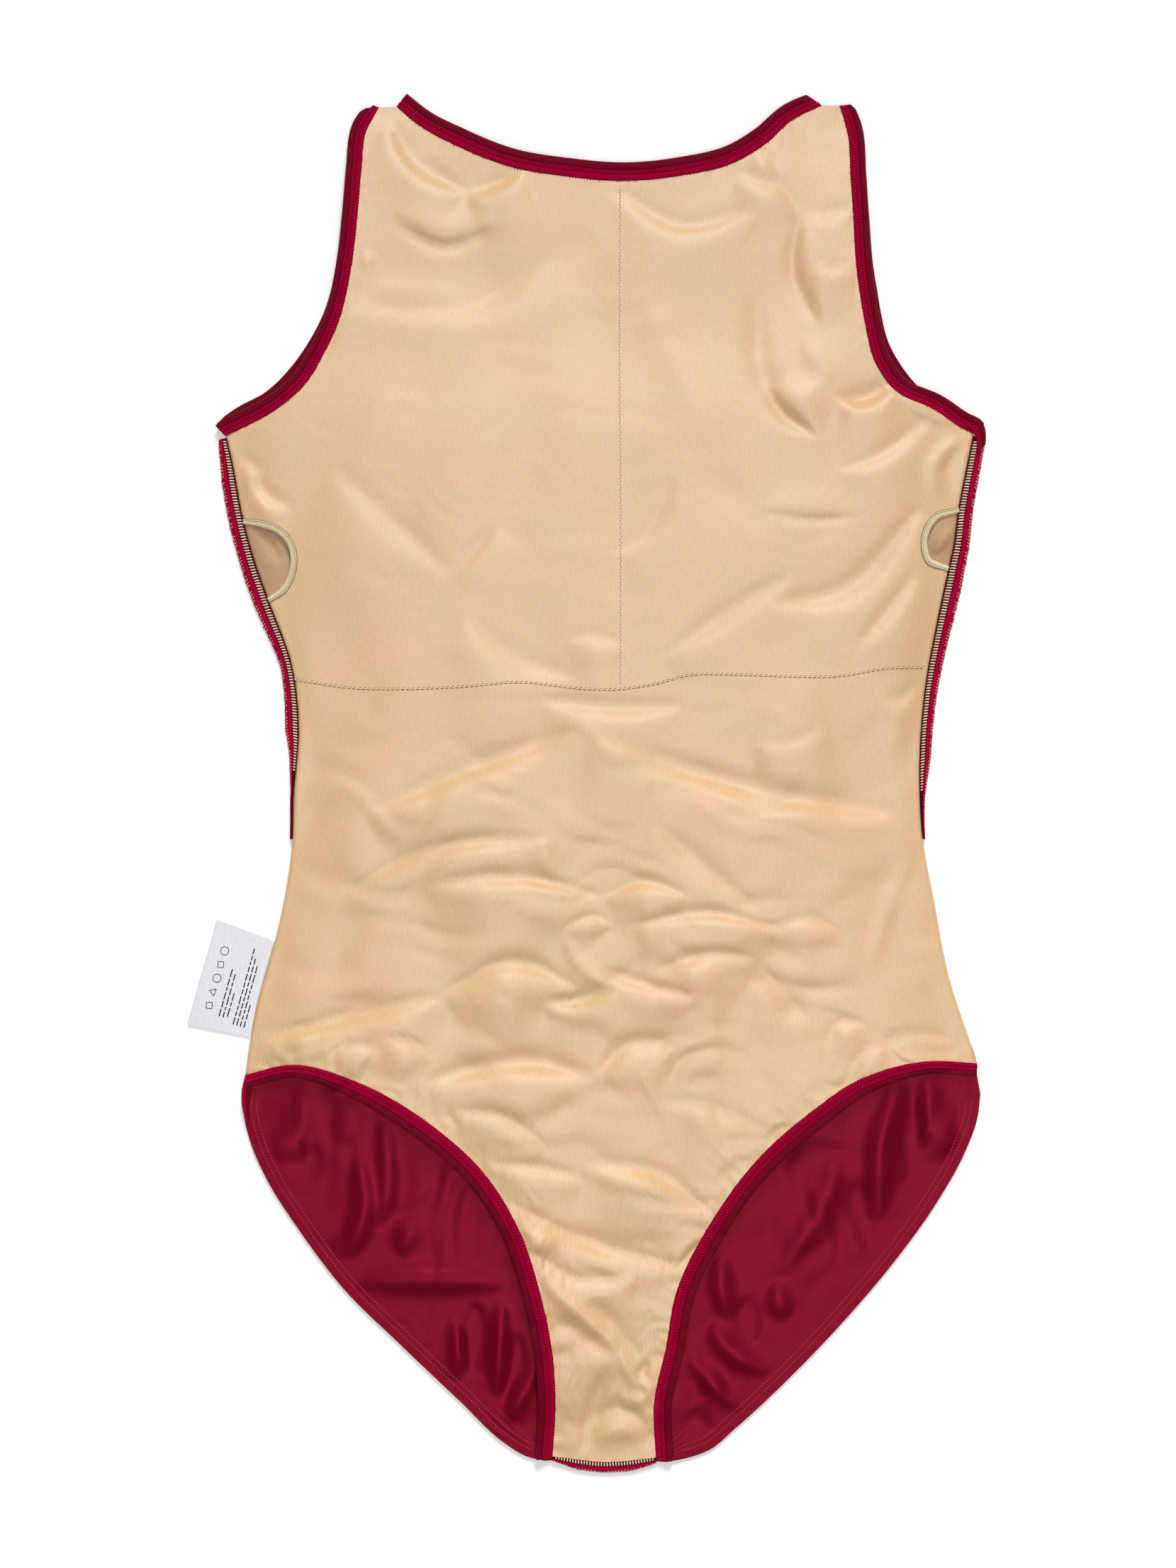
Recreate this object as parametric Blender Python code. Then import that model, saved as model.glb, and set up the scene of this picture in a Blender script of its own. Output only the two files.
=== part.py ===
"""A lined leotard, turned inside out and laid flat on a table, front up.

The front panel shows its beige lining and lies on the back panel, whose burgundy shell shows
through the leg openings. Hems, overlocked seams, pad pocket openings and the care label are
pieces of their own. Tables are in millimetres: X across, Y from the crotch up to the neck, and
Z up from the table. Left is -X.
"""
import bmesh
import bpy
import numpy as np

MM = 0.001

# Thicknesses and clearances
CLOTH = 1.2            # wall of a panel
GAP = 0.3              # clearance between pieces that meet
SEAM_GAP = 0.5         # the same at the curved side seams, whose rows fall at other places
LABEL_THICK = 1.0
POCKET_THICK = 1.0

# How far the front stands off the back
BODY_LOFT = 6.0        # in the middle of the body
STRAP_LOFT = 2.2       # above the armpits, where nothing fills the straps
STRAP_START = 150.0    # height where the loft begins to fall
STRAP_END = 260.0      # height where it has fallen
LOFT_REACH = 38.0      # distance from a sewn edge over which the loft grows
FOLD_REACH = 7.0       # distance from a sewn edge over which folds grow

# Widths of what runs along the edges
ARM_HEM = 7.8
ARM_HEM_LOW = 8.3      # at the armpit
LEG_HEM_HIP = 6.4
BACK_HEM = 8.5
POCKET_HEM = 3.4
POCKET_END = 0.45      # share of its first and last run that a pocket hem stops short
POCKET_SHY = 0.2       # share of its opening, at each end, where the layer inside is hidden
LEAN_REACH = 18.0      # distance from a band's end over which its lean dies out

# Rows and columns of the walls
ACROSS = 26
FRONT_ROWS = {"leg": 20, "low": 16, "pocket": 8, "top": 3, "arm": 13}
BACK_ACROSS = 16
BACK_ROWS = {"leg": 18, "side": 20, "arm": 9}
HIP_RISE = 104.0       # how far the row from hip to hip bows up
ARMPIT_SAG = 10.0      # how far the row from armpit to armpit hangs down
SIDE_START = 9.0       # first row of the back above the leg opening
SEAM_RUNS = 26         # runs of a side seam's overlock
POCKET_RUNS = 8
LABEL_RUNS = 6
FINE = 400             # samples of a line that others are read from
TROUGH = 0.45          # width and depth of a crease, as shares of its roll
SHARP = 50.0           # edges that turn more than this many degrees are shown sharp

# Side seams, hip to armpit: across, up
SEAM_LEFT = [(-175.3, -156), (-174.5, -148), (-170, -119), (-156, -65), (-151, -34), (-150, -5),
             (-147.5, 27), (-151, 60), (-162.5, 92), (-170, 113), (-176, 135), (-181.5, 164),
             (-184.5, 177)]
SEAM_RIGHT = [(199.8, -158), (198, -142), (194.5, -131), (184, -99), (176, -58), (170.5, -28),
              (169, 1), (172, 50), (177.5, 80), (183.5, 108), (186.5, 122), (189, 141),
              (193, 161), (196.5, 178)]

# Heights on the seams where the edge of the front turns off: hip, pad pocket, armpit
LEFT_MARKS = {"hip": -148, "pocket_low": 92, "pocket_high": 135, "armpit": 177}
RIGHT_MARKS = {"hip": -142, "pocket_low": 108, "pocket_high": 141, "armpit": 178}
WAIST = -28            # where the seam allowance folds under

# Lining edge of the front: across, up, between its seam points
CROTCH = [(-18, -342), (-4, -343.8), (8, -345), (21, -344.2), (34.5, -342.7)]
LEG_LEFT = [(-18, -342), (-16.5, -315), (-18.5, -286), (-24.5, -257), (-34, -228), (-51.5, -199),
            (-82, -171), (-115, -152), (-150, -142.5)]
LEG_RIGHT = [(34.5, -342.7), (33.5, -315), (39.5, -286), (45, -257), (59, -228), (78.5, -199),
             (107, -171), (142, -148), (169.5, -141)]
POCKET_LEFT = [(-151.5, 99), (-148, 113), (-158, 129)]
POCKET_RIGHT = [(172, 112), (169, 125), (176, 137.5)]
ARM_LEFT = [(-173.5, 182), (-158, 190.5), (-143, 204), (-134.5, 218), (-127.5, 232.5),
            (-120.5, 261), (-117, 290), (-115, 314), (-113, 331), (-106.5, 344)]
ARM_RIGHT = [(190, 181), (176.5, 190), (156.5, 199.5), (145, 216), (141, 232.5), (136.5, 261),
             (134.5, 293), (133.5, 308), (132, 331), (128, 345)]
NECK = [(-97.5, 344.5), (-86, 335), (-68, 325), (-39.5, 313.5), (-10.5, 308.5), (18, 306.5),
        (47, 309), (76, 316.5), (90, 325), (104.5, 338), (119, 345.2)]

# Outer edge of the back where the legs go through, crotch to hip: across, up
BACK_LEG_LEFT = [(-22, -344.6), (-31, -342.5), (-42, -336), (-65, -314.5), (-95, -286),
                 (-124.5, -257), (-146.5, -228), (-164.5, -199.5), (-172, -182), (-175.5, -166)]
BACK_LEG_RIGHT = [(40, -345.3), (53, -342.5), (62, -339), (74, -329), (105, -300), (132, -271.5),
                  (156.5, -242.5), (177, -214), (193, -185), (198.3, -170)]

# Edges of the back panel under the front: across, up
BACK_ARM_LEFT = [(-175, 184), (-160, 192.5), (-146, 206), (-136.5, 219), (-127.5, 236),
                 (-120.5, 261), (-116.5, 290), (-113.5, 319), (-104, 343.5)]
BACK_ARM_RIGHT = [(185.5, 184.5), (173, 191), (161.5, 201), (153.5, 211), (146.5, 223.5),
                  (141.5, 240), (137.5, 261), (135, 290), (132.5, 319), (126, 344)]
BACK_NECK = [(-98, 344), (-92, 320), (-72, 285), (-35, 260), (13, 252), (60, 259), (97, 284),
             (115, 318), (120.5, 344.2)]

# Care label: its free edge, bottom to top, and the stretch of the hip seam that holds it
LABEL_EDGE = [(-204, -122), (-189, -69)]
LABEL_LOW, LABEL_HIGH = -128.5, -80.0

# Largest folds of the front: start, middle and end of the crease, then width and height of
# the roll on its right-hand side, walking from start to end
FRONT_FOLDS = [
    # x0, y0, x1, y1, x2, y2, width, height
    (-101, 336, -87, 316, -62, 301, 9, 2.4),
    (-62, 301, -50, 304, -33, 312, 9, 2.0),
    (-44, 283, -74, 273, -101, 287, 9, 1.8),
    (15, 301, 48, 284, 84, 293, 10, 1.6),
    (76, 310, 98, 303, 108, 290, 9, 1.6),
    (118, 232, 104, 262, 108, 290, 11, 1.8),
    (128, 196, 140, 195, 153, 203, 8, 2.2),
    (116, 176, 98, 189, 91, 202, 9, 1.8),
    (127, 160, 143, 165, 173, 186, 10, 1.6),
    (-129, 161, -97, 132, -68, 105, 16, 1.2),
    (-61, 87, -42, 68, -6, 54, 14, 1.4),
    (38, 64, 66, 84, 104, 107, 13, 1.8),
    (92, 92, 128, 98, 169, 141, 16, 2.6),
    (135, 67, 149, 84, 167, 108, 9, 1.6),
    (-24, 43, 12, 39, 48, 40, 12, 2.2),
    (-112, -14, -60, 8, -8, 27, 16, 2.8),
    (4, 25, 74, 0, 166, -16, 17, 3.0),
    (-127, -58, -84, -34, -18, -27, 11, 2.2),
    (-82, -51, -36, -47, 8, -57, 11, 2.4),
    (8, -57, 28, -49, 50, -56, 10, 2.0),
    (34, -20, 66, -48, 92, -68, 13, 1.4),
    (22, -72, 58, -65, 98, -73, 10, 2.2),
    (30, -97, 62, -86, 84, -88, 11, 2.4),
    (84, -88, 97, -105, 116, -124, 12, 1.5),
    (5, -94, 28, -101, 55, -108, 9, 2.0),
    (-170, -131, -125, -119, -74, -107, 13, 3.0),
    (-74, -107, -38, -90, -5, -103, 12, 2.8),
    (-22, -110, -5, -110, 14, -104, 8, 1.8),
    (-82, -151, -36, -141, 5, -147, 14, 3.0),
    (5, -147, 19, -133, 43, -131, 13, 2.6),
    (-68, -166, -48, -167, -20, -184, 10, 2.0),
    (-50, -193, -28, -194, -2, -200, 8, 2.0),
    (-3, -192, 32, -197, 64, -218, 11, 2.4),
    (-40, -212, -4, -231, 48, -245, 10, 2.4),
    (-30, -236, -5, -251, 25, -248, 10, 2.4),
    (-20, -262, -8, -280, 16, -285, 8, 2.0),
    (8, -270, 30, -283, 26, -304, 8, 2.2),
    (-2, -338, 8, -319, 33, -335, 8, 2.2),
]

# Soft ridges of the back where the leg openings show it, in the same columns
BACK_FOLDS = [
    # x0, y0, x1, y1, x2, y2, width, height
    (-100, -175, -104, -200, -102, -226, 9, 1.1),
    (-141, -176, -137, -196, -126, -214, 9, 0.9),
    (-78, -214, -76, -240, -64, -268, 10, 0.9),
    (-124, -214, -112, -232, -92, -246, 9, 0.8),
    (168, -168, 167, -184, 160, -204, 9, 1.1),
    (132, -176, 126, -202, 108, -226, 10, 1.0),
    (146, -206, 134, -228, 116, -246, 9, 0.9),
    (88, -226, 82, -254, 64, -282, 10, 0.9),
]

# Sections of what runs along an edge: share of the width, height over the layer below
HEM_SECTION = [(0, 0), (0.94, 0), (1, 0.8), (0.95, 1.8), (0.78, 2.1), (0.56, 1.7), (0, 1.6)]
BACK_HEM_SECTION = [(0, 0.35), (0.06, 0), (1, 0), (1, 1.2), (0.08, 1.2), (0, 0.85)]
PLAIN_HEM_SECTION = [(0, 0), (0.94, 0), (1, 0.35), (1, 0.85), (0.92, 1.2), (0, 1.2)]
OVERLOCK_SECTION = [(0, 0), (0.93, 0), (1, 0.8), (0.9, 2.0), (0.4, 2.6), (0, 2.5)]
POCKET_HEM_SECTION = [(0, 0), (1, 0), (1, 1.3), (0.5, 1.8), (0, 1.5)]

# Widths along an edge: share of its length, width
LEG_HEM_WIDTHS = [(0, 8.8), (0.72, 9.6), (0.92, LEG_HEM_HIP), (1, LEG_HEM_HIP)]
ARM_HEM_WIDTHS = [(0, ARM_HEM_LOW), (0.2, ARM_HEM), (1, ARM_HEM)]
NECK_HEM_WIDTHS = [(0, 8.4), (0.15, 9.4), (0.85, 9.4), (1, 8.2)]
BACK_LEG_WIDTHS = [(0, 2.5), (0.1, BACK_HEM), (0.9, BACK_HEM), (1, 1.2)]
OVERLOCK_LEFT_WIDTHS = [(0, 0.8), (0.12, 1.2), (0.2, 3.4), (0.27, 6.2), (0.42, 5.0), (0.6, 6.8),
                        (0.9, 6.2), (1, 3.8)]
OVERLOCK_RIGHT_WIDTHS = [(0, 0.8), (0.1, 2.0), (0.2, 5.0), (0.35, 5.6), (0.62, 7.6), (0.9, 6.4),
                         (1, 5.8)]
POCKET_HEM_WIDTHS = [(0, 1.6), (0.3, POCKET_HEM), (0.7, POCKET_HEM), (1, 1.6)]
CROTCH_WIDTHS = [(0, 2.2), (0.25, 5.0), (0.75, 5.2), (1, 3.0)]

# Colour, roughness
LINING = ((0.78, 0.55, 0.34), 0.55)
SHELL = ((0.19, 0.008, 0.025), 0.45)
HEM_SHELL = ((0.25, 0.01, 0.03), 0.45)
THREAD = ((0.45, 0.006, 0.05), 0.7)
POCKET_THREAD = ((0.74, 0.60, 0.33), 0.7)
POCKET_CLOTH = ((0.60, 0.36, 0.19), 0.6)
LABEL_SATIN = ((0.86, 0.86, 0.88), 0.35)


def smooth_path(knots, count):
    """Cubic curve through the knots, as count + 1 points at even distances along it."""
    knots = np.array(knots, float)
    at = np.concatenate([[0], np.cumsum(np.linalg.norm(np.diff(knots, axis=0), axis=1))])
    slope = np.gradient(knots, at, axis=0)
    fine = np.linspace(0, at[-1], 40 * len(knots))
    k = np.clip(np.searchsorted(at, fine, side="right") - 1, 0, len(knots) - 2)
    step = (at[k + 1] - at[k])[:, None]
    t = (fine - at[k])[:, None] / step
    curve = ((2 * t ** 3 - 3 * t ** 2 + 1) * knots[k] + (3 * t ** 2 - 2 * t ** 3) * knots[k + 1]
             + (t ** 3 - 2 * t ** 2 + t) * step * slope[k] + (t ** 3 - t ** 2) * step * slope[k + 1])
    return even(curve, count)


def even(path, count):
    """The same path as count + 1 points at even distances."""
    along = np.concatenate([[0], np.cumsum(np.linalg.norm(np.diff(path, axis=0), axis=1))])
    at = np.linspace(0, along[-1], count + 1)
    return np.stack([np.interp(at, along, path[:, k]) for k in (0, 1)], axis=1)


def between(path, low, high, count):
    """The stretch of a rising path from one height to another."""
    ups = np.linspace(low, high, FINE)
    return even(np.stack([np.interp(ups, path[:, 1], path[:, 0]), ups], axis=1), count)


def trimmed(path, share):
    """The path with its first and last runs cut back by a share of each."""
    ends = path[[0, -1]] + share * (path[[1, -2]] - path[[0, -1]])
    return np.concatenate([ends[:1], path[1:-1], ends[1:]])


def join(*paths):
    """Paths end to end, each shared corner once."""
    return np.concatenate([paths[0]] + [p[1:] for p in paths[1:]])


def bowed(start, end, rise, count):
    """A row between two points, bowed up by rise in its middle."""
    u = np.linspace(0, 1, count + 1)[:, None]
    return start + (end - start) * u + np.array([0, rise]) * 4 * u * (1 - u)


def net(bottom, top, left, right, by_height=False):
    """Points between four edges: straight runs between facing edges, less those of the corners.

    Rows are shared out evenly, or by_height as the sides rise.
    """
    u = np.linspace(0, 1, len(bottom))[None, :, None]
    v = np.linspace(0, 1, len(left))
    if by_height:
        rise = left[:, 1] + right[:, 1]
        v = (rise - rise[0]) / (rise[-1] - rise[0])
    v = v[:, None, None]
    runs = (1 - v) * bottom[None] + v * top[None] + (1 - u) * left[:, None] + u * right[:, None]
    corners = ((1 - v) * ((1 - u) * bottom[0] + u * bottom[-1])
               + v * ((1 - u) * top[0] + u * top[-1]))
    return runs - corners


def normals(path, side):
    """Unit vectors across a path, side 1 to its left and -1 to its right, and along it."""
    along = np.gradient(path, axis=0)
    along /= np.linalg.norm(along, axis=1)[:, None]
    return side * np.stack([-along[:, 1], along[:, 0]], axis=1), along


def inset(path, widths, side):
    """The path moved across itself by a width that changes along it."""
    share = np.linspace(0, 1, len(path))
    across, _ = normals(path, side)
    return path + across * np.interp(share, *zip(*widths))[:, None]


def distance(points, path):
    """Each point's distance to the path, its side and the share of the path gone by there."""
    best = np.full(points.shape[:-1], np.inf)
    side = np.zeros_like(best)
    share = np.zeros_like(best)
    steps = len(path) - 1
    for k in range(steps):
        run = path[k + 1] - path[k]
        off = points - path[k]
        t = np.clip(off @ run / (run @ run), 0, 1)
        gap = np.linalg.norm(off - t[..., None] * run, axis=-1)
        near = gap < best
        best = np.where(near, gap, best)
        turn = run[0] * off[..., 1] - run[1] * off[..., 0]
        side = np.where(near, np.sign(turn), side)
        share = np.where(near, (k + t) / steps, share)
    return best, side, share


def creases(points, table):
    """A soft trough along each crease with a roll on its right-hand side."""
    total = np.zeros(points.shape[:-1])
    for x0, y0, x1, y1, x2, y2, width, height in table:
        path = smooth_path([(x0, y0), (x1, y1), (x2, y2)], 8)
        gap, side, share = distance(points, path)
        out = np.where(side < 0, gap, 0) / width
        roll = out * np.exp(1 - out)
        trough = np.exp(-(gap / (TROUGH * width)) ** 2)
        fade = np.clip(4 * share * (1 - share), 0, 1) ** 0.5
        end = np.exp(-(np.where(fade < 0.01, gap, 0) / width) ** 2)
        total += height * fade * end * (roll - TROUGH * trough)
    return total


def ridges(points, table):
    """A round ridge along each line."""
    total = np.zeros(points.shape[:-1])
    for x0, y0, x1, y1, x2, y2, width, height in table:
        path = smooth_path([(x0, y0), (x1, y1), (x2, y2)], 8)
        gap, _, share = distance(points, path)
        total += height * (4 * share * (1 - share)) ** 0.5 * np.exp(-(gap / width) ** 2)
    return total


def edges():
    """All the lines that pieces share, each sampled once."""
    e = {}
    for name, seam, marks in (("left", SEAM_LEFT, LEFT_MARKS), ("right", SEAM_RIGHT, RIGHT_MARKS)):
        line = smooth_path(seam, FINE)
        rows = FRONT_ROWS
        left = name == "left"
        leg = LEG_LEFT if left else LEG_RIGHT
        pocket = POCKET_LEFT if left else POCKET_RIGHT
        arm = ARM_LEFT if left else ARM_RIGHT
        back_arm = BACK_ARM_LEFT if left else BACK_ARM_RIGHT
        back_leg = BACK_LEG_LEFT if left else BACK_LEG_RIGHT
        at = {k: np.array([np.interp(up, line[:, 1], line[:, 0]), up]) for k, up in marks.items()}
        e["seam_" + name] = line
        e["leg_" + name] = smooth_path(leg + [at["hip"]], rows["leg"])
        e["low_" + name] = between(line, marks["hip"], marks["pocket_low"], rows["low"])
        e["pocket_" + name] = smooth_path([at["pocket_low"]] + pocket + [at["pocket_high"]],
                                          rows["pocket"])
        e["top_" + name] = between(line, marks["pocket_high"], marks["armpit"], rows["top"])
        e["arm_" + name] = smooth_path([at["armpit"]] + arm, rows["arm"])
        e["back_leg_out_" + name] = smooth_path(back_leg + [line[0]], BACK_ROWS["leg"])
        inward = [(share, width + GAP) for share, width in BACK_LEG_WIDTHS]
        e["back_leg_" + name] = inset(e["back_leg_out_" + name], inward, -1 if left else 1)
        e["back_side_" + name] = join(e["back_leg_" + name][-1:],
                                      between(line, line[0][1] + SIDE_START, marks["armpit"],
                                              BACK_ROWS["side"] - 1))
        e["back_arm_" + name] = smooth_path([at["armpit"]] + back_arm, BACK_ROWS["arm"])
        e["sewn_" + name] = between(line, line[0][1], marks["armpit"], SEAM_RUNS)
    e["crotch"] = smooth_path(CROTCH, ACROSS)
    e["neck"] = smooth_path(NECK, ACROSS - 2)
    e["back_neck"] = smooth_path(BACK_NECK, BACK_ACROSS - 2)
    return e


def shoulder_row(neck, outer_left, outer_right):
    """Shoulder, neck and shoulder, left to right."""
    return np.concatenate([[outer_left], neck, [outer_right]])


def front_plan(e):
    """Rows and columns of the front panel, crotch to shoulders."""
    hip = bowed(e["low_left"][0], e["low_right"][0], HIP_RISE, ACROSS)
    armpit = bowed(e["arm_left"][0], e["arm_right"][0], -ARMPIT_SAG, ACROSS)
    top = shoulder_row(e["neck"], e["arm_left"][-1], e["arm_right"][-1])
    sides = [join(e["low_" + s], e["pocket_" + s], e["top_" + s]) for s in ("left", "right")]
    return join(net(e["crotch"], hip, e["leg_left"], e["leg_right"]),
                net(hip, armpit, *sides, by_height=True),
                net(armpit, top, e["arm_left"], e["arm_right"]))


def back_plan(e):
    """Rows and columns of the back panel, crotch to shoulders."""
    legs = e["back_leg_left"], e["back_leg_right"]
    crotch = smooth_path([legs[0][0]] + CROTCH[1:-1] + [legs[1][0]], BACK_ACROSS)
    hip = bowed(legs[0][-1], legs[1][-1], 0, BACK_ACROSS)
    armpit = bowed(e["back_arm_left"][0], e["back_arm_right"][0], -ARMPIT_SAG, BACK_ACROSS)
    top = shoulder_row(e["back_neck"], e["back_arm_left"][-1], e["back_arm_right"][-1])
    return join(net(crotch, hip, *legs),
                net(hip, armpit, e["back_side_left"], e["back_side_right"], by_height=True),
                net(armpit, top, e["back_arm_left"], e["back_arm_right"]))


def back_top(points):
    """Height of the back panel's upper face."""
    return CLOTH + ridges(points, BACK_FOLDS)


def front_under(points, e):
    """Height of the underside of the front: on the back at its sewn edges, lofted between."""
    sewn = np.full(points.shape[:-1], np.inf)
    tops = [np.array([e["neck"][k], e["arm_" + s][-1]]) for k, s in ((0, "left"), (-1, "right"))]
    for path in [e["sewn_left"], e["sewn_right"], e["crotch"]] + tops:
        sewn = np.minimum(sewn, distance(points, path)[0])
    fall = np.clip((points[..., 1] - STRAP_START) / (STRAP_END - STRAP_START), 0, 1)
    most = BODY_LOFT + (STRAP_LOFT - BODY_LOFT) * fall ** 2 * (3 - 2 * fall)
    loft = most * (1 - np.exp(-(sewn / LOFT_REACH) ** 1.5))
    folds = creases(points, FRONT_FOLDS) * (1 - np.exp(-(sewn / FOLD_REACH) ** 2))
    return back_top(points) + GAP + np.maximum(loft + folds, 0)


def mesh_object(name, verts, faces, finish):
    """An object of these points in millimetres, closed and facing outwards, with its material."""
    mesh = bpy.data.meshes.new(name)
    mesh.from_pydata((np.asarray(verts) * MM).tolist(), [], faces)
    shell = bmesh.new()
    shell.from_mesh(mesh)
    bmesh.ops.recalc_face_normals(shell, faces=shell.faces)
    shell.to_mesh(mesh)
    shell.free()
    mesh.shade_smooth()
    mesh.set_sharp_from_angle(angle=np.radians(SHARP))
    obj = bpy.data.objects.new(name, mesh)
    bpy.context.scene.collection.objects.link(obj)
    colour, roughness = finish
    material = bpy.data.materials.new(name)
    material.use_nodes = True
    shader = material.node_tree.nodes["Principled BSDF"]
    shader.inputs["Base Color"].default_value = (*colour, 1)
    shader.inputs["Roughness"].default_value = roughness
    shader.inputs["Metallic"].default_value = 0
    mesh.materials.append(material)
    return obj


def wall(name, plan, under, over, finish):
    """A closed wall on a net of points, from its lower heights to its upper ones."""
    rows, columns = plan.shape[:2]
    low = np.concatenate([plan, under[..., None]], axis=2).reshape(-1, 3)
    high = np.concatenate([plan, over[..., None]], axis=2).reshape(-1, 3)
    index = np.arange(rows * columns).reshape(rows, columns)
    a, b, c, d = index[:-1, :-1], index[:-1, 1:], index[1:, 1:], index[1:, :-1]
    quads = np.stack([a, b, c, d], axis=-1).reshape(-1, 4)
    rim = np.concatenate([index[0], index[1:, -1], index[-1, -2::-1], index[-2:0:-1, 0]])
    after = np.roll(rim, -1)
    count = len(low)
    sides = np.stack([rim, after, after + count, rim + count], axis=-1)
    faces = np.concatenate([quads[:, ::-1], quads + count, sides])
    return mesh_object(name, np.concatenate([low, high]), faces.tolist(), finish)


def band(name, path, widths, section, height, side, finish, start=GAP, slant=(0, 0)):
    """A section carried along a path, beside it, on the heights that lie below it.

    Its ends lean along the path by the slant, in degrees.
    """
    share = np.linspace(0, 1, len(path))
    width = np.interp(share, *zip(*widths))
    across, along = normals(path, side)
    length = np.linalg.norm(np.diff(path, axis=0), axis=1).sum()
    lean = np.radians(slant[0] * np.exp(-share * length / LEAN_REACH)
                      + slant[1] * np.exp(-(1 - share) * length / LEAN_REACH))
    out = across + along * np.tan(lean)[:, None]
    section = np.array(section)
    reach = start + width[:, None] * section[None, :, 0]
    points = path[:, None] + out[:, None] * reach[..., None]
    heights = height(points) + section[None, :, 1]
    rings = np.concatenate([points, heights[..., None]], axis=2)
    count = len(section)
    index = np.arange(len(path) * count).reshape(len(path), count)
    a, d = index[:-1], index[1:]
    b, c = np.roll(a, -1, axis=1), np.roll(d, -1, axis=1)
    faces = np.stack([a, b, c, d], axis=-1).reshape(-1, 4).tolist()
    faces += [index[0].tolist(), index[-1].tolist()]
    return mesh_object(name, rings.reshape(-1, 3), faces, finish)


def table_top(points):
    """Height of the table."""
    return np.zeros(points.shape[:-1])


def build_panels(e):
    """Front and back panel."""
    front, back = front_plan(e), back_plan(e)
    under = front_under(front, e)
    wall("front_panel", front, under, under + CLOTH, LINING)
    wall("back_panel", back, table_top(back), back_top(back), SHELL)


def build_front_hems(e):
    """Neck, armhole and leg hems: the shell turned over the edge of the lining."""
    def on_back(points):
        return front_under(points, e)
    band("neck_hem", e["neck"], NECK_HEM_WIDTHS, HEM_SECTION, on_back, 1, HEM_SHELL,
         slant=(0, -30))
    for name, side in (("left", 1), ("right", -1)):
        band("armhole_hem_" + name, e["arm_" + name], ARM_HEM_WIDTHS,
             HEM_SECTION, on_back, side, HEM_SHELL, slant=(0, -30 if side > 0 else -10))
        band("leg_hem_" + name, e["leg_" + name], LEG_HEM_WIDTHS, HEM_SECTION, on_back, side,
             HEM_SHELL)


def build_back_hems(e):
    """Hems of the back, turned under, flush with the panel."""
    for name, side in (("left", 1), ("right", -1)):
        band("back_leg_hem_" + name, e["back_leg_out_" + name], BACK_LEG_WIDTHS,
             BACK_HEM_SECTION, table_top, -side, SHELL, start=0)
        band("back_armhole_hem_" + name, e["back_arm_" + name], ARM_HEM_WIDTHS,
             PLAIN_HEM_SECTION, table_top, side, SHELL)
    band("back_neck_hem", e["back_neck"], [(0, ARM_HEM), (1, ARM_HEM)], PLAIN_HEM_SECTION,
         table_top, 1, SHELL)


def build_seams(e):
    """Overlocked allowances of the side seams, waist to armpit, and of the crotch seam."""
    tables = (("left", 1, LEFT_MARKS, OVERLOCK_LEFT_WIDTHS),
              ("right", -1, RIGHT_MARKS, OVERLOCK_RIGHT_WIDTHS))
    for name, side, marks, widths in tables:
        path = between(e["seam_" + name], WAIST, marks["armpit"] - 1, SEAM_RUNS)
        band("side_overlock_" + name, path, widths, OVERLOCK_SECTION, table_top, side, THREAD,
             start=SEAM_GAP)
    band("crotch_overlock", e["crotch"][::2], CROTCH_WIDTHS, OVERLOCK_SECTION, table_top, -1,
         THREAD)


def build_pockets(e):
    """Bound edge of each pad pocket's opening, and the layer that shows inside it."""
    for name, side, marks in (("left", 1, LEFT_MARKS), ("right", -1, RIGHT_MARKS)):
        bound = trimmed(e["pocket_" + name], POCKET_END)
        band("pocket_hem_" + name, bound, POCKET_HEM_WIDTHS, POCKET_HEM_SECTION,
             lambda p: front_under(p, e), side, POCKET_THREAD, start=SEAM_GAP)
        reach = SEAM_GAP + POCKET_HEM + GAP
        skipped = round(POCKET_SHY * FINE)
        fine = even(e["pocket_" + name], FINE)[skipped:-skipped]
        inner = even(inset(fine, [(0, reach), (1, reach)], side), POCKET_RUNS)
        seam = between(e["seam_" + name], inner[0][1], inner[-1][1], POCKET_RUNS)
        seam = inset(seam, [(0, GAP), (1, GAP)], -side)
        outer, near = (seam, inner) if side > 0 else (inner, seam)
        share = np.linspace(0, 1, 4)[None, :, None]
        plan = outer[:, None] * (1 - share) + near[:, None] * share
        base = back_top(plan) + GAP
        wall("pocket_layer_" + name, plan, base, base + POCKET_THICK, POCKET_CLOTH)


def build_label(e):
    """Care label, sewn into the left hip seam, lying on the table."""
    hip = between(e["seam_left"], LABEL_LOW, LABEL_HIGH, LABEL_RUNS)
    held = inset(hip, [(0, GAP), (1, GAP)], 1)
    free = even(np.array(LABEL_EDGE, float), LABEL_RUNS)
    share = np.linspace(0, 1, LABEL_RUNS)[None, :, None]
    plan = free[:, None] * (1 - share) + held[:, None] * share
    wall("care_label", plan, table_top(plan), table_top(plan) + LABEL_THICK, LABEL_SATIN)


def main():
    """Clear the scene and build every piece."""
    for obj in list(bpy.data.objects):
        bpy.data.objects.remove(obj, do_unlink=True)
    lines = edges()
    build_panels(lines)
    build_front_hems(lines)
    build_back_hems(lines)
    build_seams(lines)
    build_pockets(lines)
    build_label(lines)


main()
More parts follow.
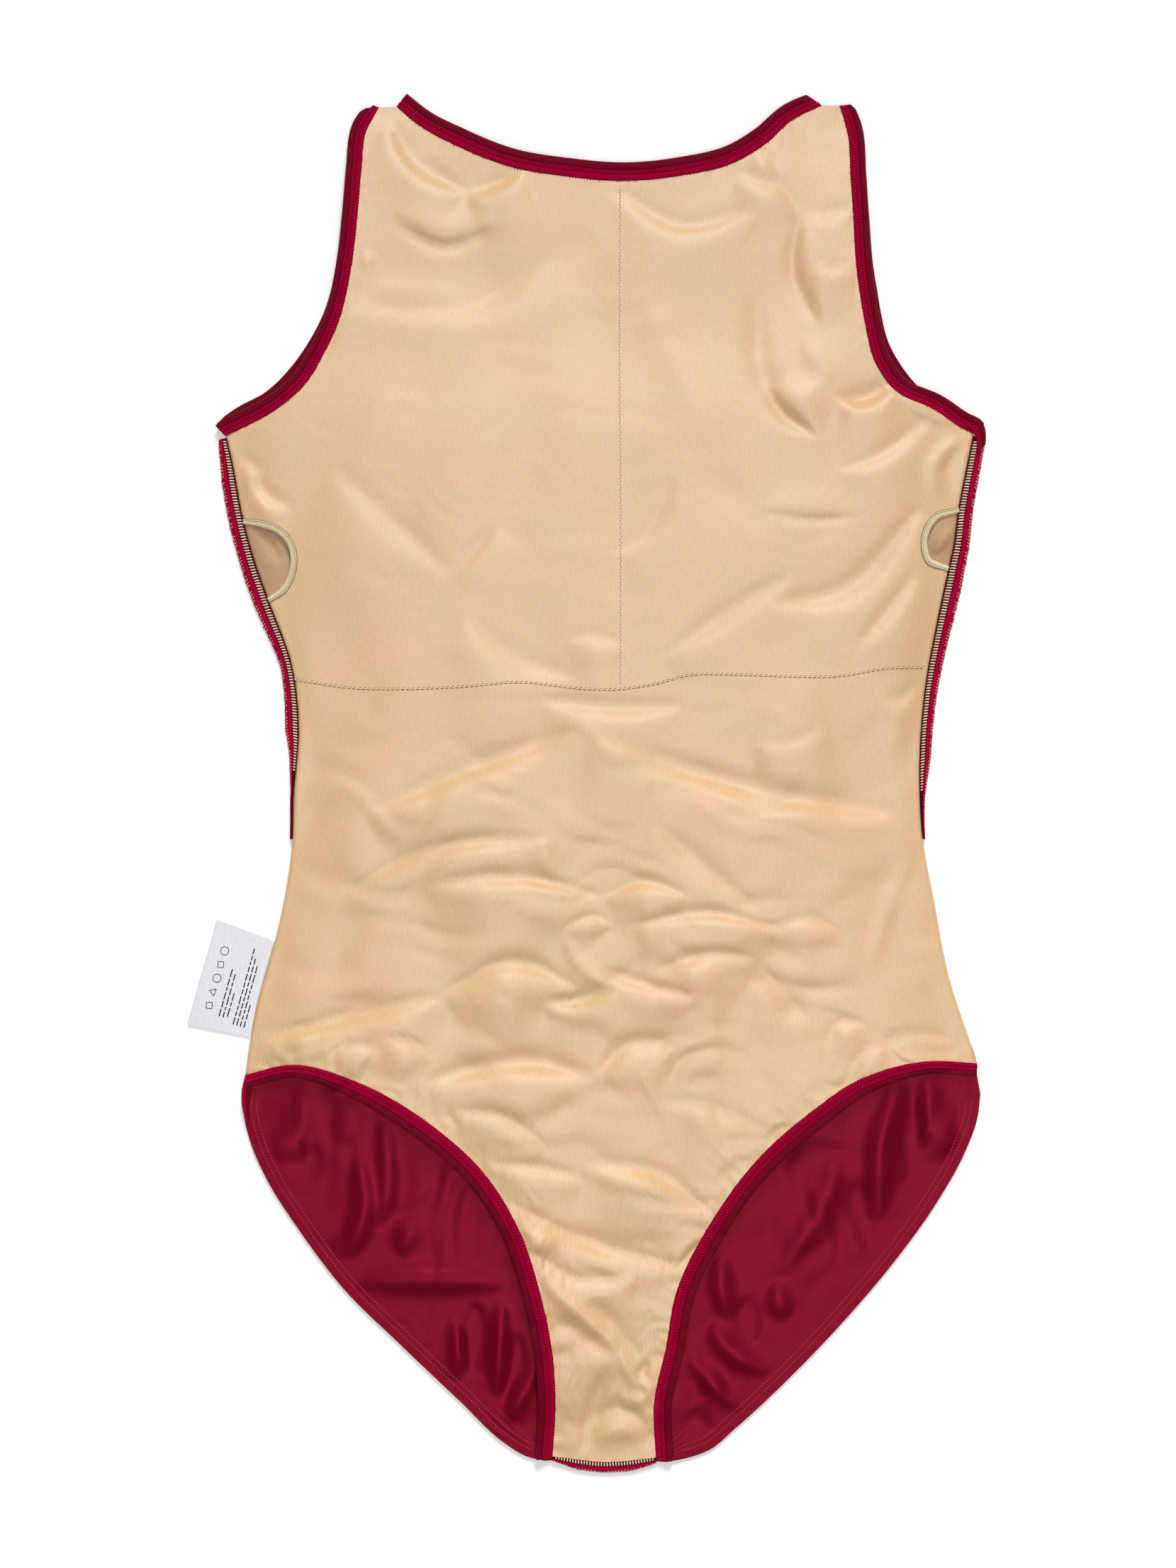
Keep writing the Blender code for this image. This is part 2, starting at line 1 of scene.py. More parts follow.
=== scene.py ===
# %% [markdown]
# # A lined leotard, inside out and laid flat
# The leotard lies front up on a table and is seen from straight overhead. It is turned inside
# out, so the beige lining of the front shows, the burgundy shell of the back shows through the
# leg openings, and all the sewing is outside: turned hems with their braided cover stitch,
# overlocked side seams, the bound openings of the chest pad pockets and a care label.
#
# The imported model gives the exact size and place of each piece. Here each piece is made again
# in finer mesh, on the same lines, with its folds, stitches and cloth.

import bpy
import numpy as np
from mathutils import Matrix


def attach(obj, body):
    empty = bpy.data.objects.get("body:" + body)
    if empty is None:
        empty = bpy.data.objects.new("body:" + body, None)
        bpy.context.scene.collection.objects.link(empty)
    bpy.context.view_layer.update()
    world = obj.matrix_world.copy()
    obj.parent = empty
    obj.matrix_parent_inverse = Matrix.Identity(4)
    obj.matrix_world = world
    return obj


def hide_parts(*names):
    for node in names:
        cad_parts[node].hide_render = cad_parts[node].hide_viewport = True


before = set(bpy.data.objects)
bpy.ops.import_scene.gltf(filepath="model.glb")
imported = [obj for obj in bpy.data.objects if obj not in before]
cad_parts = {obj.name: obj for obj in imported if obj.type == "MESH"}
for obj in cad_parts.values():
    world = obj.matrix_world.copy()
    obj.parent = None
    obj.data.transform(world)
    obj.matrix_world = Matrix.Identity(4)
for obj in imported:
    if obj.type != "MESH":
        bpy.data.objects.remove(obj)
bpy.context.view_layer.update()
print("nodes:", len(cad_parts))

# %% [markdown]
# ## Camera, table and light
# A camera straight over the cloth with a long lens sees it almost without perspective. The
# table is a pale plane whose border rises gently, so that no horizon shows from the side.
#
# The main light comes in low from beyond the neck, because each crease in the cloth is dark on
# the neck's side of its roll and bright on the roll itself. It is a sun lamp with a wide disk,
# which lights the whole length evenly and still casts soft shadows. It gives no shine: that
# comes from two square lamps. A softbox overhead makes level satin shine and leaves its slopes
# dark, and the sheen lamp, beyond the neck, adds a glint on the sides of the rolls. The lamps
# are cool and the sky is warm, so crests turn out pale and hollows warm, as in the photograph.

# %% The view from straight overhead
MM = 0.001
PIXEL = 0.36                       # millimetres of cloth to a pixel of the photograph
IMAGE = (1659, 2212)
LENS, SENSOR = 85.0, 36.0
CLOTH_LEVEL = 6.0                  # height of the cloth that the pixel size holds for

scene = bpy.context.scene
camera = bpy.data.objects.new("camera", bpy.data.cameras.new("camera"))
camera.data.lens = LENS
camera.data.sensor_fit = "VERTICAL"
camera.data.sensor_height = SENSOR
seen = IMAGE[1] * PIXEL
camera.location = (0, 0, (seen * LENS / SENSOR + CLOTH_LEVEL) * MM)
scene.collection.objects.link(camera)
bpy.context.scene.camera = camera
scene.view_settings.view_transform = "Standard"
print("camera height", round(camera.location.z, 3), "m")

# %% Materials, and the table
TABLE_WHITE, TABLE_ROUGH = (0.97, 0.97, 0.97), 0.8
TABLE_GLOW = 0.16                  # lifts it to the photograph's clean white
HALF, LEVEL = 12.0, -0.0003        # half the table's side, and its height, in metres
BORDER_RISE = 1.5                  # how far its border, as wide again, rises to hide the horizon


def new_material(name):
    """A material of nodes, and its shader."""
    material = bpy.data.materials.new(name)
    material.use_nodes = True
    return material, material.node_tree.nodes["Principled BSDF"]


def fill(node, inputs):
    """A node's inputs, by name or number: each is set to a value or linked to an output."""
    for name, value in inputs.items():
        if isinstance(value, bpy.types.NodeSocket):
            node.id_data.links.new(value, node.inputs[name])
        else:
            node.inputs[name].default_value = value


table_material, shader = new_material("table")
fill(shader, {"Base Color": (*TABLE_WHITE, 1), "Roughness": TABLE_ROUGH,
              "Emission Color": (1, 1, 1, 1), "Emission Strength": TABLE_GLOW})
table = bpy.data.meshes.new("table")
corners = [(-HALF, -HALF), (HALF, -HALF), (HALF, HALF), (-HALF, HALF)]
table.from_pydata([(x, y, LEVEL) for x, y in corners]
                  + [(2 * x, 2 * y, BORDER_RISE) for x, y in corners], [],
                  [(0, 1, 2, 3)] + [(k, k + 4, (k + 1) % 4 + 4, (k + 1) % 4) for k in range(4)])
table.materials.append(table_material)
table = bpy.data.objects.new("table", table)
scene.collection.objects.link(table)
print("table", 2 * HALF, "m wide, and its border", HALF, "m")

# %% Lamps and sky
KEY_TILT, KEY_TURN = 56, -8        # degrees from straight down, and round from the neck
KEY_DISK, KEY_POWER = 18, 2.15     # the disk in degrees
SOFTBOX_PLACE, SOFTBOX_POWER = (0.15, -0.35, 2.6), 26.0
SHEEN_PLACE, SHEEN_POWER = (0.1, 1.45, 2.2), 40.0
LAMP_SIDE = 1.2                    # of each square lamp, in metres
KEY_TINT, LAMP_TINT = (0.97, 0.985, 1.0), (0.84, 0.94, 1.0)
SKY, SKY_STRENGTH = (1.0, 0.88, 0.70), 0.24


def lamp(name, kind, power, tint, place=(0, 0, 0), turn=(0, 0, 0)):
    """A lamp at a place; unturned, it shines straight down."""
    made = bpy.data.objects.new(name, bpy.data.lights.new(name, kind))
    made.data.energy = power
    made.data.color = tint
    made.location = place
    made.rotation_euler = turn
    scene.collection.objects.link(made)
    return made


key = lamp("key", "SUN", KEY_POWER, KEY_TINT,
           turn=(-np.radians(KEY_TILT), 0, np.radians(KEY_TURN)))
key.data.angle = np.radians(KEY_DISK)
key.visible_glossy = False         # the satin's shine comes from the square lamps alone
softbox = lamp("softbox", "AREA", SOFTBOX_POWER, LAMP_TINT, SOFTBOX_PLACE)
sheen = lamp("sheen", "AREA", SHEEN_POWER, LAMP_TINT, SHEEN_PLACE,
             turn=(-np.arctan(SHEEN_PLACE[1] / SHEEN_PLACE[2]), 0, 0))
softbox.data.size = sheen.data.size = LAMP_SIDE
sheen.visible_diffuse = False      # it adds shine to the satin and no other light

world = bpy.data.worlds.new("sky")
world.use_nodes = True
fill(world.node_tree.nodes["Background"], {"Color": (*SKY, 1), "Strength": SKY_STRENGTH})
scene.world = world
print("lamps:", len(bpy.data.lights))

# %% [markdown]
# ## The lines of the cut
# All pieces share a few lines: the side seams, the edges of the lining at neck, arms and legs,
# and the edges of the back. Each is a smooth curve through a few points, in millimetres, with X
# across and Y from the crotch up to the neck. A cubic spline whose slopes come from the
# neighbouring points keeps the curve close to them. Every other shape is measured from these
# lines, so seams meet without any fitting.

# %% Thicknesses, clearances and samples
CLOTH = 1.2                        # thickness of either panel
GAP = 0.3                          # between pieces that are sewn together
CLEAR = 0.1                        # between the table and the lowest cloth
FINE = 600                         # samples of a line
COARSE, SEWN_RUNS = 60, 26         # samples where only the distance to an edge or seam matters
SIDES = (("left", 1), ("right", -1))    # and where hems lie, seen along an edge: 1 is left

# %% Side seams, edges and marks, each point across and up
SEAM_LEFT = [(-175.3, -156), (-174.5, -148), (-170, -119), (-156, -65), (-151, -34), (-150, -5),
             (-147.5, 27), (-151, 60), (-162.5, 92), (-170, 113), (-176, 135), (-181.5, 164),
             (-184.5, 177)]
SEAM_RIGHT = [(199.8, -158), (198, -142), (194.5, -131), (184, -99), (176, -58), (170.5, -28),
              (169, 1), (172, 50), (177.5, 80), (183.5, 108), (186.5, 122), (189, 141),
              (193, 161), (196.5, 178)]
LEFT_MARKS = {"hip": -148, "pocket_low": 92, "pocket_high": 135, "armpit": 177}
RIGHT_MARKS = {"hip": -142, "pocket_low": 108, "pocket_high": 141, "armpit": 178}
WAIST = -28

CROTCH = [(-18, -342), (-4, -343.8), (8, -345), (21, -344.2), (34.5, -342.7)]
LEG_LEFT = [(-18, -342), (-16.5, -315), (-18.5, -286), (-24.5, -257), (-34, -228), (-51.5, -199),
            (-82, -171), (-115, -152), (-150, -142.5)]
LEG_RIGHT = [(34.5, -342.7), (33.5, -315), (39.5, -286), (45, -257), (59, -228), (78.5, -199),
             (107, -171), (142, -148), (169.5, -141)]
POCKET_LEFT = [(-153.5, 97.5), (-149, 105.5), (-147.6, 114), (-149.3, 122.5), (-156, 130.3),
               (-165, 133.9)]
POCKET_RIGHT = [(172, 112), (169, 125), (176, 137.5)]
ARM_LEFT = [(-173.5, 182), (-158, 190.5), (-143, 204), (-134.5, 218), (-127.5, 232.5),
            (-120.5, 261), (-117, 290), (-115, 314), (-113, 331), (-106.5, 344)]
ARM_RIGHT = [(190, 181), (176.5, 190), (156.5, 199.5), (145, 216), (141, 232.5), (136.5, 261),
             (134.5, 293), (133.5, 308), (132, 331), (128, 345)]
NECK = [(-97.5, 344.5), (-86, 335), (-68, 325), (-39.5, 313.5), (-10.5, 308.5), (18, 306.5),
        (47, 309), (76, 316.5), (90, 325), (104.5, 338), (119, 345.2)]
BACK_LEG_LEFT = [(-22, -344.6), (-31, -342.5), (-42, -336), (-65, -314.5), (-95, -286),
                 (-124.5, -257), (-146.5, -228), (-164.5, -199.5), (-172, -182), (-175.5, -166)]
BACK_LEG_RIGHT = [(40, -345.3), (53, -342.5), (62, -339), (74, -329), (105, -300), (132, -271.5),
                  (156.5, -242.5), (177, -214), (193, -185), (198.3, -170)]
BACK_ARM_LEFT = [(-175, 184), (-160, 192.5), (-146, 206), (-136.5, 219), (-127.5, 236),
                 (-120.5, 261), (-116.5, 290), (-113.5, 319), (-104, 343.5)]
BACK_ARM_RIGHT = [(185.5, 184.5), (173, 191), (161.5, 201), (153.5, 211), (146.5, 223.5),
                  (141.5, 240), (137.5, 261), (135, 290), (132.5, 319), (126, 344)]
BACK_NECK = [(-98, 344), (-92, 320), (-72, 285), (-35, 260), (13, 252), (60, 259), (97, 284),
             (115, 318), (120.5, 344.2)]
LABEL_EDGE = [(-204, -122), (-189, -69)]
LABEL_LOW, LABEL_HIGH = -128.5, -80.0

# %% [markdown]
# ## Curves and nets
# `smooth_path` draws a curve through points, `at` reads it at any share of its length, and
# `net` spans four such curves: the surface between them is the straight run between facing
# edges, added both ways, less the same built from the four corners. It follows all four edges
# exactly, so a whole panel takes three nets: crotch to hips, hips to armpits, armpits to neck.

# %% Curves
def smooth_path(knots, count=FINE):
    """Cubic curve through the knots, as count + 1 points at even distances along it."""
    knots = np.array(knots, float)
    along = np.concatenate([[0], np.cumsum(np.linalg.norm(np.diff(knots, axis=0), axis=1))])
    slope = np.gradient(knots, along, axis=0)
    fine = np.linspace(0, along[-1], 40 * len(knots))
    k = np.clip(np.searchsorted(along, fine, side="right") - 1, 0, len(knots) - 2)
    step = (along[k + 1] - along[k])[:, None]
    t = (fine - along[k])[:, None] / step
    curve = ((2 * t ** 3 - 3 * t ** 2 + 1) * knots[k] + (3 * t ** 2 - 2 * t ** 3) * knots[k + 1]
             + (t ** 3 - 2 * t ** 2 + t) * step * slope[k]
             + (t ** 3 - t ** 2) * step * slope[k + 1])
    return even(curve, count)


def even(path, count=FINE):
    """The same path as count + 1 points at even distances."""
    along = np.concatenate([[0], np.cumsum(np.linalg.norm(np.diff(path, axis=0), axis=1))])
    where = np.linspace(0, along[-1], count + 1)
    return np.stack([np.interp(where, along, path[:, k]) for k in (0, 1)], axis=1)


def between(path, low, high, count=FINE):
    """The stretch of a rising path from one height to another."""
    ups = np.linspace(low, high, FINE)
    return even(np.stack([np.interp(ups, path[:, 1], path[:, 0]), ups], axis=1), count)


def join(*paths):
    """Paths end to end, each shared corner once."""
    return np.concatenate([paths[0]] + [p[1:] for p in paths[1:]])


def at(path, share):
    """Points of a path at shares of its samples, straight between them."""
    k = np.asarray(share, float) * (len(path) - 1)
    index = np.arange(len(path))
    return np.stack([np.interp(k, index, path[:, c]) for c in range(path.shape[1])], axis=-1)


def bowed(start, end, rise, count=FINE):
    """A row between two points, bowed up by rise in its middle."""
    u = np.linspace(0, 1, count + 1)[:, None]
    return start + (end - start) * u + np.array([0, rise]) * 4 * u * (1 - u)


def across(path, side):
    """Unit vectors across a path: side 1 to its left, -1 to its right."""
    along = np.gradient(path, axis=0)
    along /= np.linalg.norm(along, axis=1)[:, None]
    return side * np.stack([-along[:, 1], along[:, 0]], axis=1)


def inset(path, widths, side):
    """The path moved across itself by a width that changes along it."""
    share = np.linspace(0, 1, len(path))
    return path + across(path, side) * np.interp(share, *zip(*widths))[:, None]


def net(bottom, top, left, right, u, v, by_height=False):
    """Surface between four edges at columns u and rows v.

    It is the run between bottom and top plus the run between left and right, less the run
    between the corners; rows go by their number, or by_height as the sides rise.
    """
    sides = at(left, v), at(right, v)
    if by_height:
        rise = sides[0][:, 1] + sides[1][:, 1]
        v = (rise - rise[0]) / (rise[-1] - rise[0])
    u, v = u[None, :, None], v[:, None, None]
    low, high = at(bottom, u[0, :, 0])[None], at(top, u[0, :, 0])[None]
    runs = (1 - v) * low + v * high + (1 - u) * sides[0][:, None] + u * sides[1][:, None]
    corners = ((1 - v) * ((1 - u) * bottom[0] + u * bottom[-1])
               + v * ((1 - u) * top[0] + u * top[-1]))
    return runs - corners


# %% All the shared lines
def cut_lines():
    """Seams and edges by name, left and right."""
    e = {"crotch": smooth_path(CROTCH), "neck": smooth_path(NECK),
         "back_neck": smooth_path(BACK_NECK)}
    tables = {"left": (SEAM_LEFT, LEFT_MARKS, LEG_LEFT, POCKET_LEFT, ARM_LEFT, BACK_ARM_LEFT,
                       BACK_LEG_LEFT),
              "right": (SEAM_RIGHT, RIGHT_MARKS, LEG_RIGHT, POCKET_RIGHT, ARM_RIGHT,
                        BACK_ARM_RIGHT, BACK_LEG_RIGHT)}
    for name, (seam, marks, leg, pocket, arm, back_arm, back_leg) in tables.items():
        line = smooth_path(seam)
        mark = {k: np.array([np.interp(up, line[:, 1], line[:, 0]), up])
                for k, up in marks.items()}
        e["seam_" + name] = line
        e["leg_" + name] = smooth_path(leg + [mark["hip"]])
        e["low_" + name] = between(line, marks["hip"], marks["pocket_low"])
        e["pocket_" + name] = smooth_path([mark["pocket_low"]] + pocket + [mark["pocket_high"]])
        e["top_" + name] = between(line, marks["pocket_high"], marks["armpit"])
        e["arm_" + name] = smooth_path([mark["armpit"]] + arm)
        e["back_leg_" + name] = smooth_path(back_leg + [line[0]])
        e["back_arm_" + name] = smooth_path([mark["armpit"]] + back_arm)
        e["sewn_" + name] = between(line, line[0][1], marks["armpit"], SEWN_RUNS)
    return e


lines = cut_lines()
print("lines:", len(lines))

# %% [markdown]
# ## Folds
# The cloth was smoothed by hand and wrinkled again, so its folds are uneven and each is placed
# one by one. A crease is a soft trough with a roll along one side of it: across the crease, the
# roll rises fast and falls slowly, like x times e to the minus x, and the trough sinks like a
# bell curve. Towards its ends it gets narrower and lower. Each line of the tables gives three
# points of a crease, then the width and the height of its roll. The first table holds large
# folds that the solids have too, and the second small ones. The third gives plain ridges and
# hollows, as in the crotch, where folds bend too tightly for a roll. Between them, waves with
# soft crests and sharp valleys run through the satin at a slant.

# %% Creases of the front, the roll on their right-hand side
LARGE_FOLDS = [
    # x0, y0, x1, y1, x2, y2, width, height
    (-101, 336, -87, 316, -62, 301, 9, 2.4),
    (-62, 301, -50, 304, -33, 312, 9, 2.0),
    (-44, 283, -74, 273, -101, 287, 9, 1.8),
    (15, 301, 48, 284, 84, 293, 10, 1.6),
    (76, 310, 98, 303, 108, 290, 9, 1.6),
    (118, 232, 104, 262, 108, 290, 11, 1.8),
    (128, 196, 140, 195, 153, 203, 8, 2.2),
    (116, 176, 98, 189, 91, 202, 9, 1.8),
    (127, 160, 143, 165, 173, 186, 10, 1.6),
    (-129, 161, -97, 132, -68, 105, 16, 1.2),
    (-61, 87, -42, 68, -6, 54, 14, 1.4),
    (38, 64, 66, 84, 104, 107, 13, 1.8),
    (92, 92, 128, 98, 169, 141, 16, 2.6),
    (135, 67, 149, 84, 167, 108, 9, 1.6),
    (-24, 43, 12, 39, 48, 40, 12, 2.2),
    (-112, -14, -60, 8, -8, 27, 16, 2.8),
    (4, 25, 74, 0, 166, -16, 17, 3.0),
    (-127, -58, -84, -34, -18, -27, 11, 2.2),
    (-82, -51, -36, -47, 8, -57, 11, 2.4),
    (8, -57, 28, -49, 50, -56, 10, 2.0),
    (34, -20, 66, -48, 92, -68, 13, 1.4),
    (22, -72, 58, -65, 98, -73, 10, 2.2),
    (30, -97, 62, -86, 84, -88, 11, 2.4),
    (84, -88, 97, -105, 116, -124, 12, 1.5),
    (5, -94, 28, -101, 55, -108, 9, 2.0),
    (-170, -131, -125, -119, -74, -107, 13, 3.0),
    (-74, -107, -38, -90, -5, -103, 12, 2.8),
    (-22, -110, -5, -110, 14, -104, 8, 1.8),
    (-82, -151, -36, -141, 5, -147, 14, 3.0),
    (5, -147, 19, -133, 43, -131, 13, 2.6),
    (-68, -166, -48, -167, -20, -184, 10, 2.0),
    (-50, -193, -28, -194, -2, -200, 8, 2.0),
    (-3, -192, 32, -197, 64, -218, 11, 2.4),
    (-40, -212, -4, -231, 48, -245, 10, 2.4),
    (-30, -236, -5, -251, 25, -248, 10, 2.4),
]
SMALL_FOLDS = [
    # x0, y0, x1, y1, x2, y2, width, height
    (92, -73, 113, -68, 130, -77, 8, 1.4),
    (-12, -73, 3, -67, 12, -71, 6, 1.4),
    (-132, -137, -118, -132, -108, -134, 6, 1.6),
    (-105, -129, -90, -131, -80, -137, 6, 1.6),
    (35, -160, 60, -163, 95, -178, 10, 1.2),
    (12, 117, 30, 128, 44, 160, 12, 0.8),
    (137, 136, 112, 134, 90, 138, 8, 0.9),
    (85, 21, 105, 22, 120, 30, 8, 0.9),
    (150, 44, 160, 44, 168, 52, 7, 1.6),
    (-120, 243, -60, 243, -15, 270, 14, 1.0),
    (-70, 105, -60, 116, -46, 133, 10, 1.0),
    (-172, 160, -163, 147, -150, 140, 7, 1.6),
    (-181, 168, -174, 164, -164, 158, 6, 1.4),
    (-12, 73, 2, 76, 20, 70, 9, 1.0),
    (120, -135, 128, -122, 140, -121, 6, 1.4),
    (150, -131, 165, -127, 185, -130, 7, 1.6),
    (131, -150, 140, -137, 150, -130, 6, 1.4),
    (-158, -128, -148, -124, -136, -127, 6, 1.2),
    (-150, -138, -140, -132, -130, -131, 5, 1.0),
    (114, 291, 124, 290, 133, 293, 5, 1.0),
    (115, 264, 125, 262, 135, 263, 5, 0.9),
    (-118, 269, -113, 271, -106, 268, 4, 1.0),
    (85, 322, 92, 318, 98, 310, 5, 1.0),
    (-33, -228, -24, -226, -14, -228, 5, 1.2),
    (60, -229, 52, -238, 44, -246, 5, 1.2),
]
RIDGES = [
    (167, -30, 152, -65, 143, -95, 4, 1.0),
    (-12, -76, -4, -92, 10, -103, 4, 1.2),
    (-24, -25, -20, -40, -10, -52, 6, 1.0),
    (150, 200, 170, 190, 187, 182, 4, 1.6),
    (190, 172, 184, 160, 188, 147, 3.5, -3.0),
    (190, 176, 177, 162, 178, 146, 4, 1.8),
    (128, 196, 142, 199, 156, 202, 5, -1.4),
    (-21, -254, -4, -269, 16, -287, 3.8, 1.9),
    (16, -287, 22, -300, 33, -308, 3.2, 1.7),
    (-18, -270, -3, -279, 12, -289, 5.5, -1.7),
    (0, -262, 14, -276, 27, -292, 4.8, -1.7),
    (32, -293, 26, -300, 32, -303, 2.6, -1.4),
    (10, -297, 4, -311, -2, -340, 4.6, -2.0),
    (1, -326, 14, -317, 31, -326, 4.2, -1.8),
    (4, -334, 16, -329, 30, -335, 5.0, 1.4),
    (16, -314, 26, -313, 34, -308, 2.8, 1.5),
    (-13, -292, -14, -306, -13, -324, 6, 1.0),
    (-8, -224, 12, -232, 36, -232, 5, -0.9),
    (-110, 266, -45, 256, 4, 278, 14, -1.5),
    (26, 250, 62, 184, 92, 138, 12, 1.2),
    (84, 250, 94, 196, 116, 178, 7, -1.5),
    (-128, 222, -120, 236, -108, 244, 7, 0.9),
    (108, 226, 116, 216, 124, 206, 6, 1.0),
    (-40, 210, -60, 160, -96, 110, 18, 0.9),
]

# %% [markdown]
# The back hangs in softer, rounder folds, seen where the legs go through: these are ridges and
# hollows with the profile of a bell curve.

# %% Ridges and hollows of the back in the leg openings
BACK_FOLDS = [
    # x0, y0, x1, y1, x2, y2, width, height
    (-104, -172, -102, -200, -104, -224, 4.5, 1.6),
    (-117, -190, -114, -215, -124, -243, 5.5, 2.2),
    (-160, -176, -154, -181, -148, -194, 5, 2.0),
    (-146, -156, -145, -170, -148, -186, 5, 1.2),
    (-122, -160, -121, -170, -123, -184, 6, 1.0),
    (-120, -254, -84, -252, -42, -254, 6, 1.8),
    (-88, -224, -92, -230, -94, -240, 5, 1.0),
    (-67, -274, -66, -290, -68, -304, 4, 1.8),
    (-44, -264, -45, -284, -46, -312, 4.5, 2.0),
    (-27, -298, -33, -310, -40, -324, 4, 1.6),
    (-57, -264, -58, -282, -60, -302, 5, -1.4),
    (-36, -280, -37, -296, -44, -314, 4, -1.2),
    (-138, -184, -140, -194, -142, -204, 5, -1.0),
    (158, -152, 149, -184, 148, -222, 6, 2.4),
    (174, -148, 173, -168, 174, -190, 5, 2.0),
    (184, -172, 182, -182, 178, -192, 4, 1.8),
    (166, -154, 166, -182, 166, -210, 5, -1.6),
    (188, -152, 184, -162, 182, -166, 5, -1.0),
    (128, -192, 118, -218, 98, -250, 7, 1.6),
    (136, -200, 139, -220, 145, -236, 5, -1.0),
    (68, -240, 68, -258, 72, -272, 5, 1.6),
    (62, -276, 72, -288, 92, -300, 5, 1.6),
    (80, -262, 82, -276, 84, -284, 5, -1.2),
    (52, -292, 64, -306, 78, -320, 4, 1.6),
    (96, -254, 97, -262, 100, -272, 5, 1.4),
    (54, -318, 58, -326, 62, -332, 5, -0.8),
    (100, -196, 118, -190, 132, -187, 6, -0.8),
]


# %% Distance to a path
def distance(points, path):
    """Each point's distance to the path, its side and the share of the path gone by there."""
    best = np.full(points.shape[:-1], np.inf)
    side = np.zeros_like(best)
    share = np.zeros_like(best)
    steps = len(path) - 1
    for k in range(steps):
        run = path[k + 1] - path[k]
        off = points - path[k]
        t = np.clip(off @ run / (run @ run), 0, 1)
        gap = np.linalg.norm(off - t[..., None] * run, axis=-1)
        near = gap < best
        best = np.where(near, gap, best)
        side = np.where(near, np.sign(run[0] * off[..., 1] - run[1] * off[..., 0]), side)
        share = np.where(near, (k + t) / steps, share)
    return best, side, share


def gap_to(points, *paths):
    """Each point's distance to the nearest of some paths."""
    return np.minimum.reduce([distance(points, path)[0] for path in paths])


# %% Creases and ridges
CREST, RISE = 0.80, 1.02           # shares of the table's width and height that a satin roll has
ROLL, SWELL = 0.72, 0.5            # shares of the roll and of the slow swell under it
BROAD = 2.4                        # how much wider the swell is
TROUGH_WIDTH, TROUGH_DEPTH = 0.42, 0.60
TIP = 0.35                         # a crease's width at its ends, beside its middle
CREASE_RUNS = 10


def along_folds(points, table):
    """Each fold's width and height, and every point's gap and side to it, and its taper there.

    The taper is 4 s (1 - s) at share s of the fold: 1 in its middle and 0 at both ends.
    """
    for x0, y0, x1, y1, x2, y2, width, height in table:
        path = smooth_path([(x0, y0), (x1, y1), (x2, y2)], CREASE_RUNS)
        gap, side, share = distance(points, path)
        yield width, height, gap, side, np.clip(4 * share * (1 - share), 0, 1)


def creases(points, table):
    """A soft trough along each crease with a roll on its right-hand side, finer at its ends.

    The roll is x e^(1 - x) to the power 1.5, and the trough e to the minus x squared.
    """
    total = np.zeros(points.shape[:-1])
    for width, height, gap, side, taper in along_folds(points, table):
        narrow = width * (TIP + (1 - TIP) * taper)
        out = np.where(side < 0, gap, 0) / (CREST * narrow)
        slow = out / BROAD
        roll = ROLL * (out * np.exp(1 - out)) ** 1.5 + SWELL * (slow * np.exp(1 - slow)) ** 1.5
        trough = np.exp(-(gap / (TROUGH_WIDTH * narrow)) ** 2)
        total += RISE * height * taper ** 0.8 * (roll - TROUGH_DEPTH * trough)
    return total


def ridges(points, table):
    """A round ridge, or where its height is negative a hollow, along each line."""
    total = np.zeros(points.shape[:-1])
    for width, height, gap, _, taper in along_folds(points, table):
        total += height * taper ** 0.7 * np.exp(-(gap / (width * (0.5 + 0.5 * taper))) ** 2)
    return total


# %% Waves
PLANE_WAVES = 14


def swell(points, size, seed):
    """Gentle unevenness: a sum of plane waves of about this size in scattered directions."""
    dice = np.random.default_rng(seed)
    turn, phase = dice.uniform(0, 2 * np.pi, (2, PLANE_WAVES))
    length = size * dice.uniform(0.7, 1.6, PLANE_WAVES)
    wave = np.stack([np.cos(turn), np.sin(turn)], axis=1) * (2 * np.pi / length)[:, None]
    return np.sin(points @ wave.T + phase).sum(axis=-1) / PLANE_WAVES ** 0.5


def drape(points, waves, warp, seed):
    """Slanting wrinkles: sums of rounded crests between sharp valleys, in patches.

    Each wave gives the slant of its crests in degrees, its length and its height. A crest is
    the size of a sine, softened at its zero, on coordinates that a slow swell has bent.
    """
    bent = points + warp * np.stack([swell(points, 70, seed), swell(points, 55, seed + 1)], -1)
    total = np.zeros(points.shape[:-1])
    for k, (slant, length, height) in enumerate(waves):
        turn = np.radians(slant)
        beat = bent @ np.array([-np.sin(turn), np.cos(turn)]) / length
        crest = np.sqrt(np.sin(np.pi * beat + k) ** 2 + 0.03)
        patch = np.clip(0.45 + 0.7 * swell(points, 65, seed + 7 + k), 0, 1.3)
        total += height * patch * (crest - 0.6)
    return total


def puckers(points, path, pitch, height, reach, seed):
    """Small waves that run in from a hem: rounded crests that die out away from it."""
    gap, _, share = distance(points, even(path, COARSE))
    length = np.linalg.norm(np.diff(path, axis=0), axis=1).sum()
    beat = share * length / pitch + 0.8 * swell(points, 3 * pitch, seed)
    crest = np.sqrt(np.sin(np.pi * beat) ** 2 + 0.02) - 0.6
    uneven = np.clip(0.7 + 0.5 * swell(points, 35, seed + 50), 0.1, 1.5)
    return 2 * height * uneven * crest * np.exp(-(gap / reach) ** 1.3)


# %% [markdown]
# ## Heights of the two panels
# The back lies on the table. The front lies on it, sewn to it at the sides, the crotch and the
# shoulders, and stands a few millimetres off it in between. Down the sides the front's edge
# rolls over to the table, as on a flat tube of cloth.

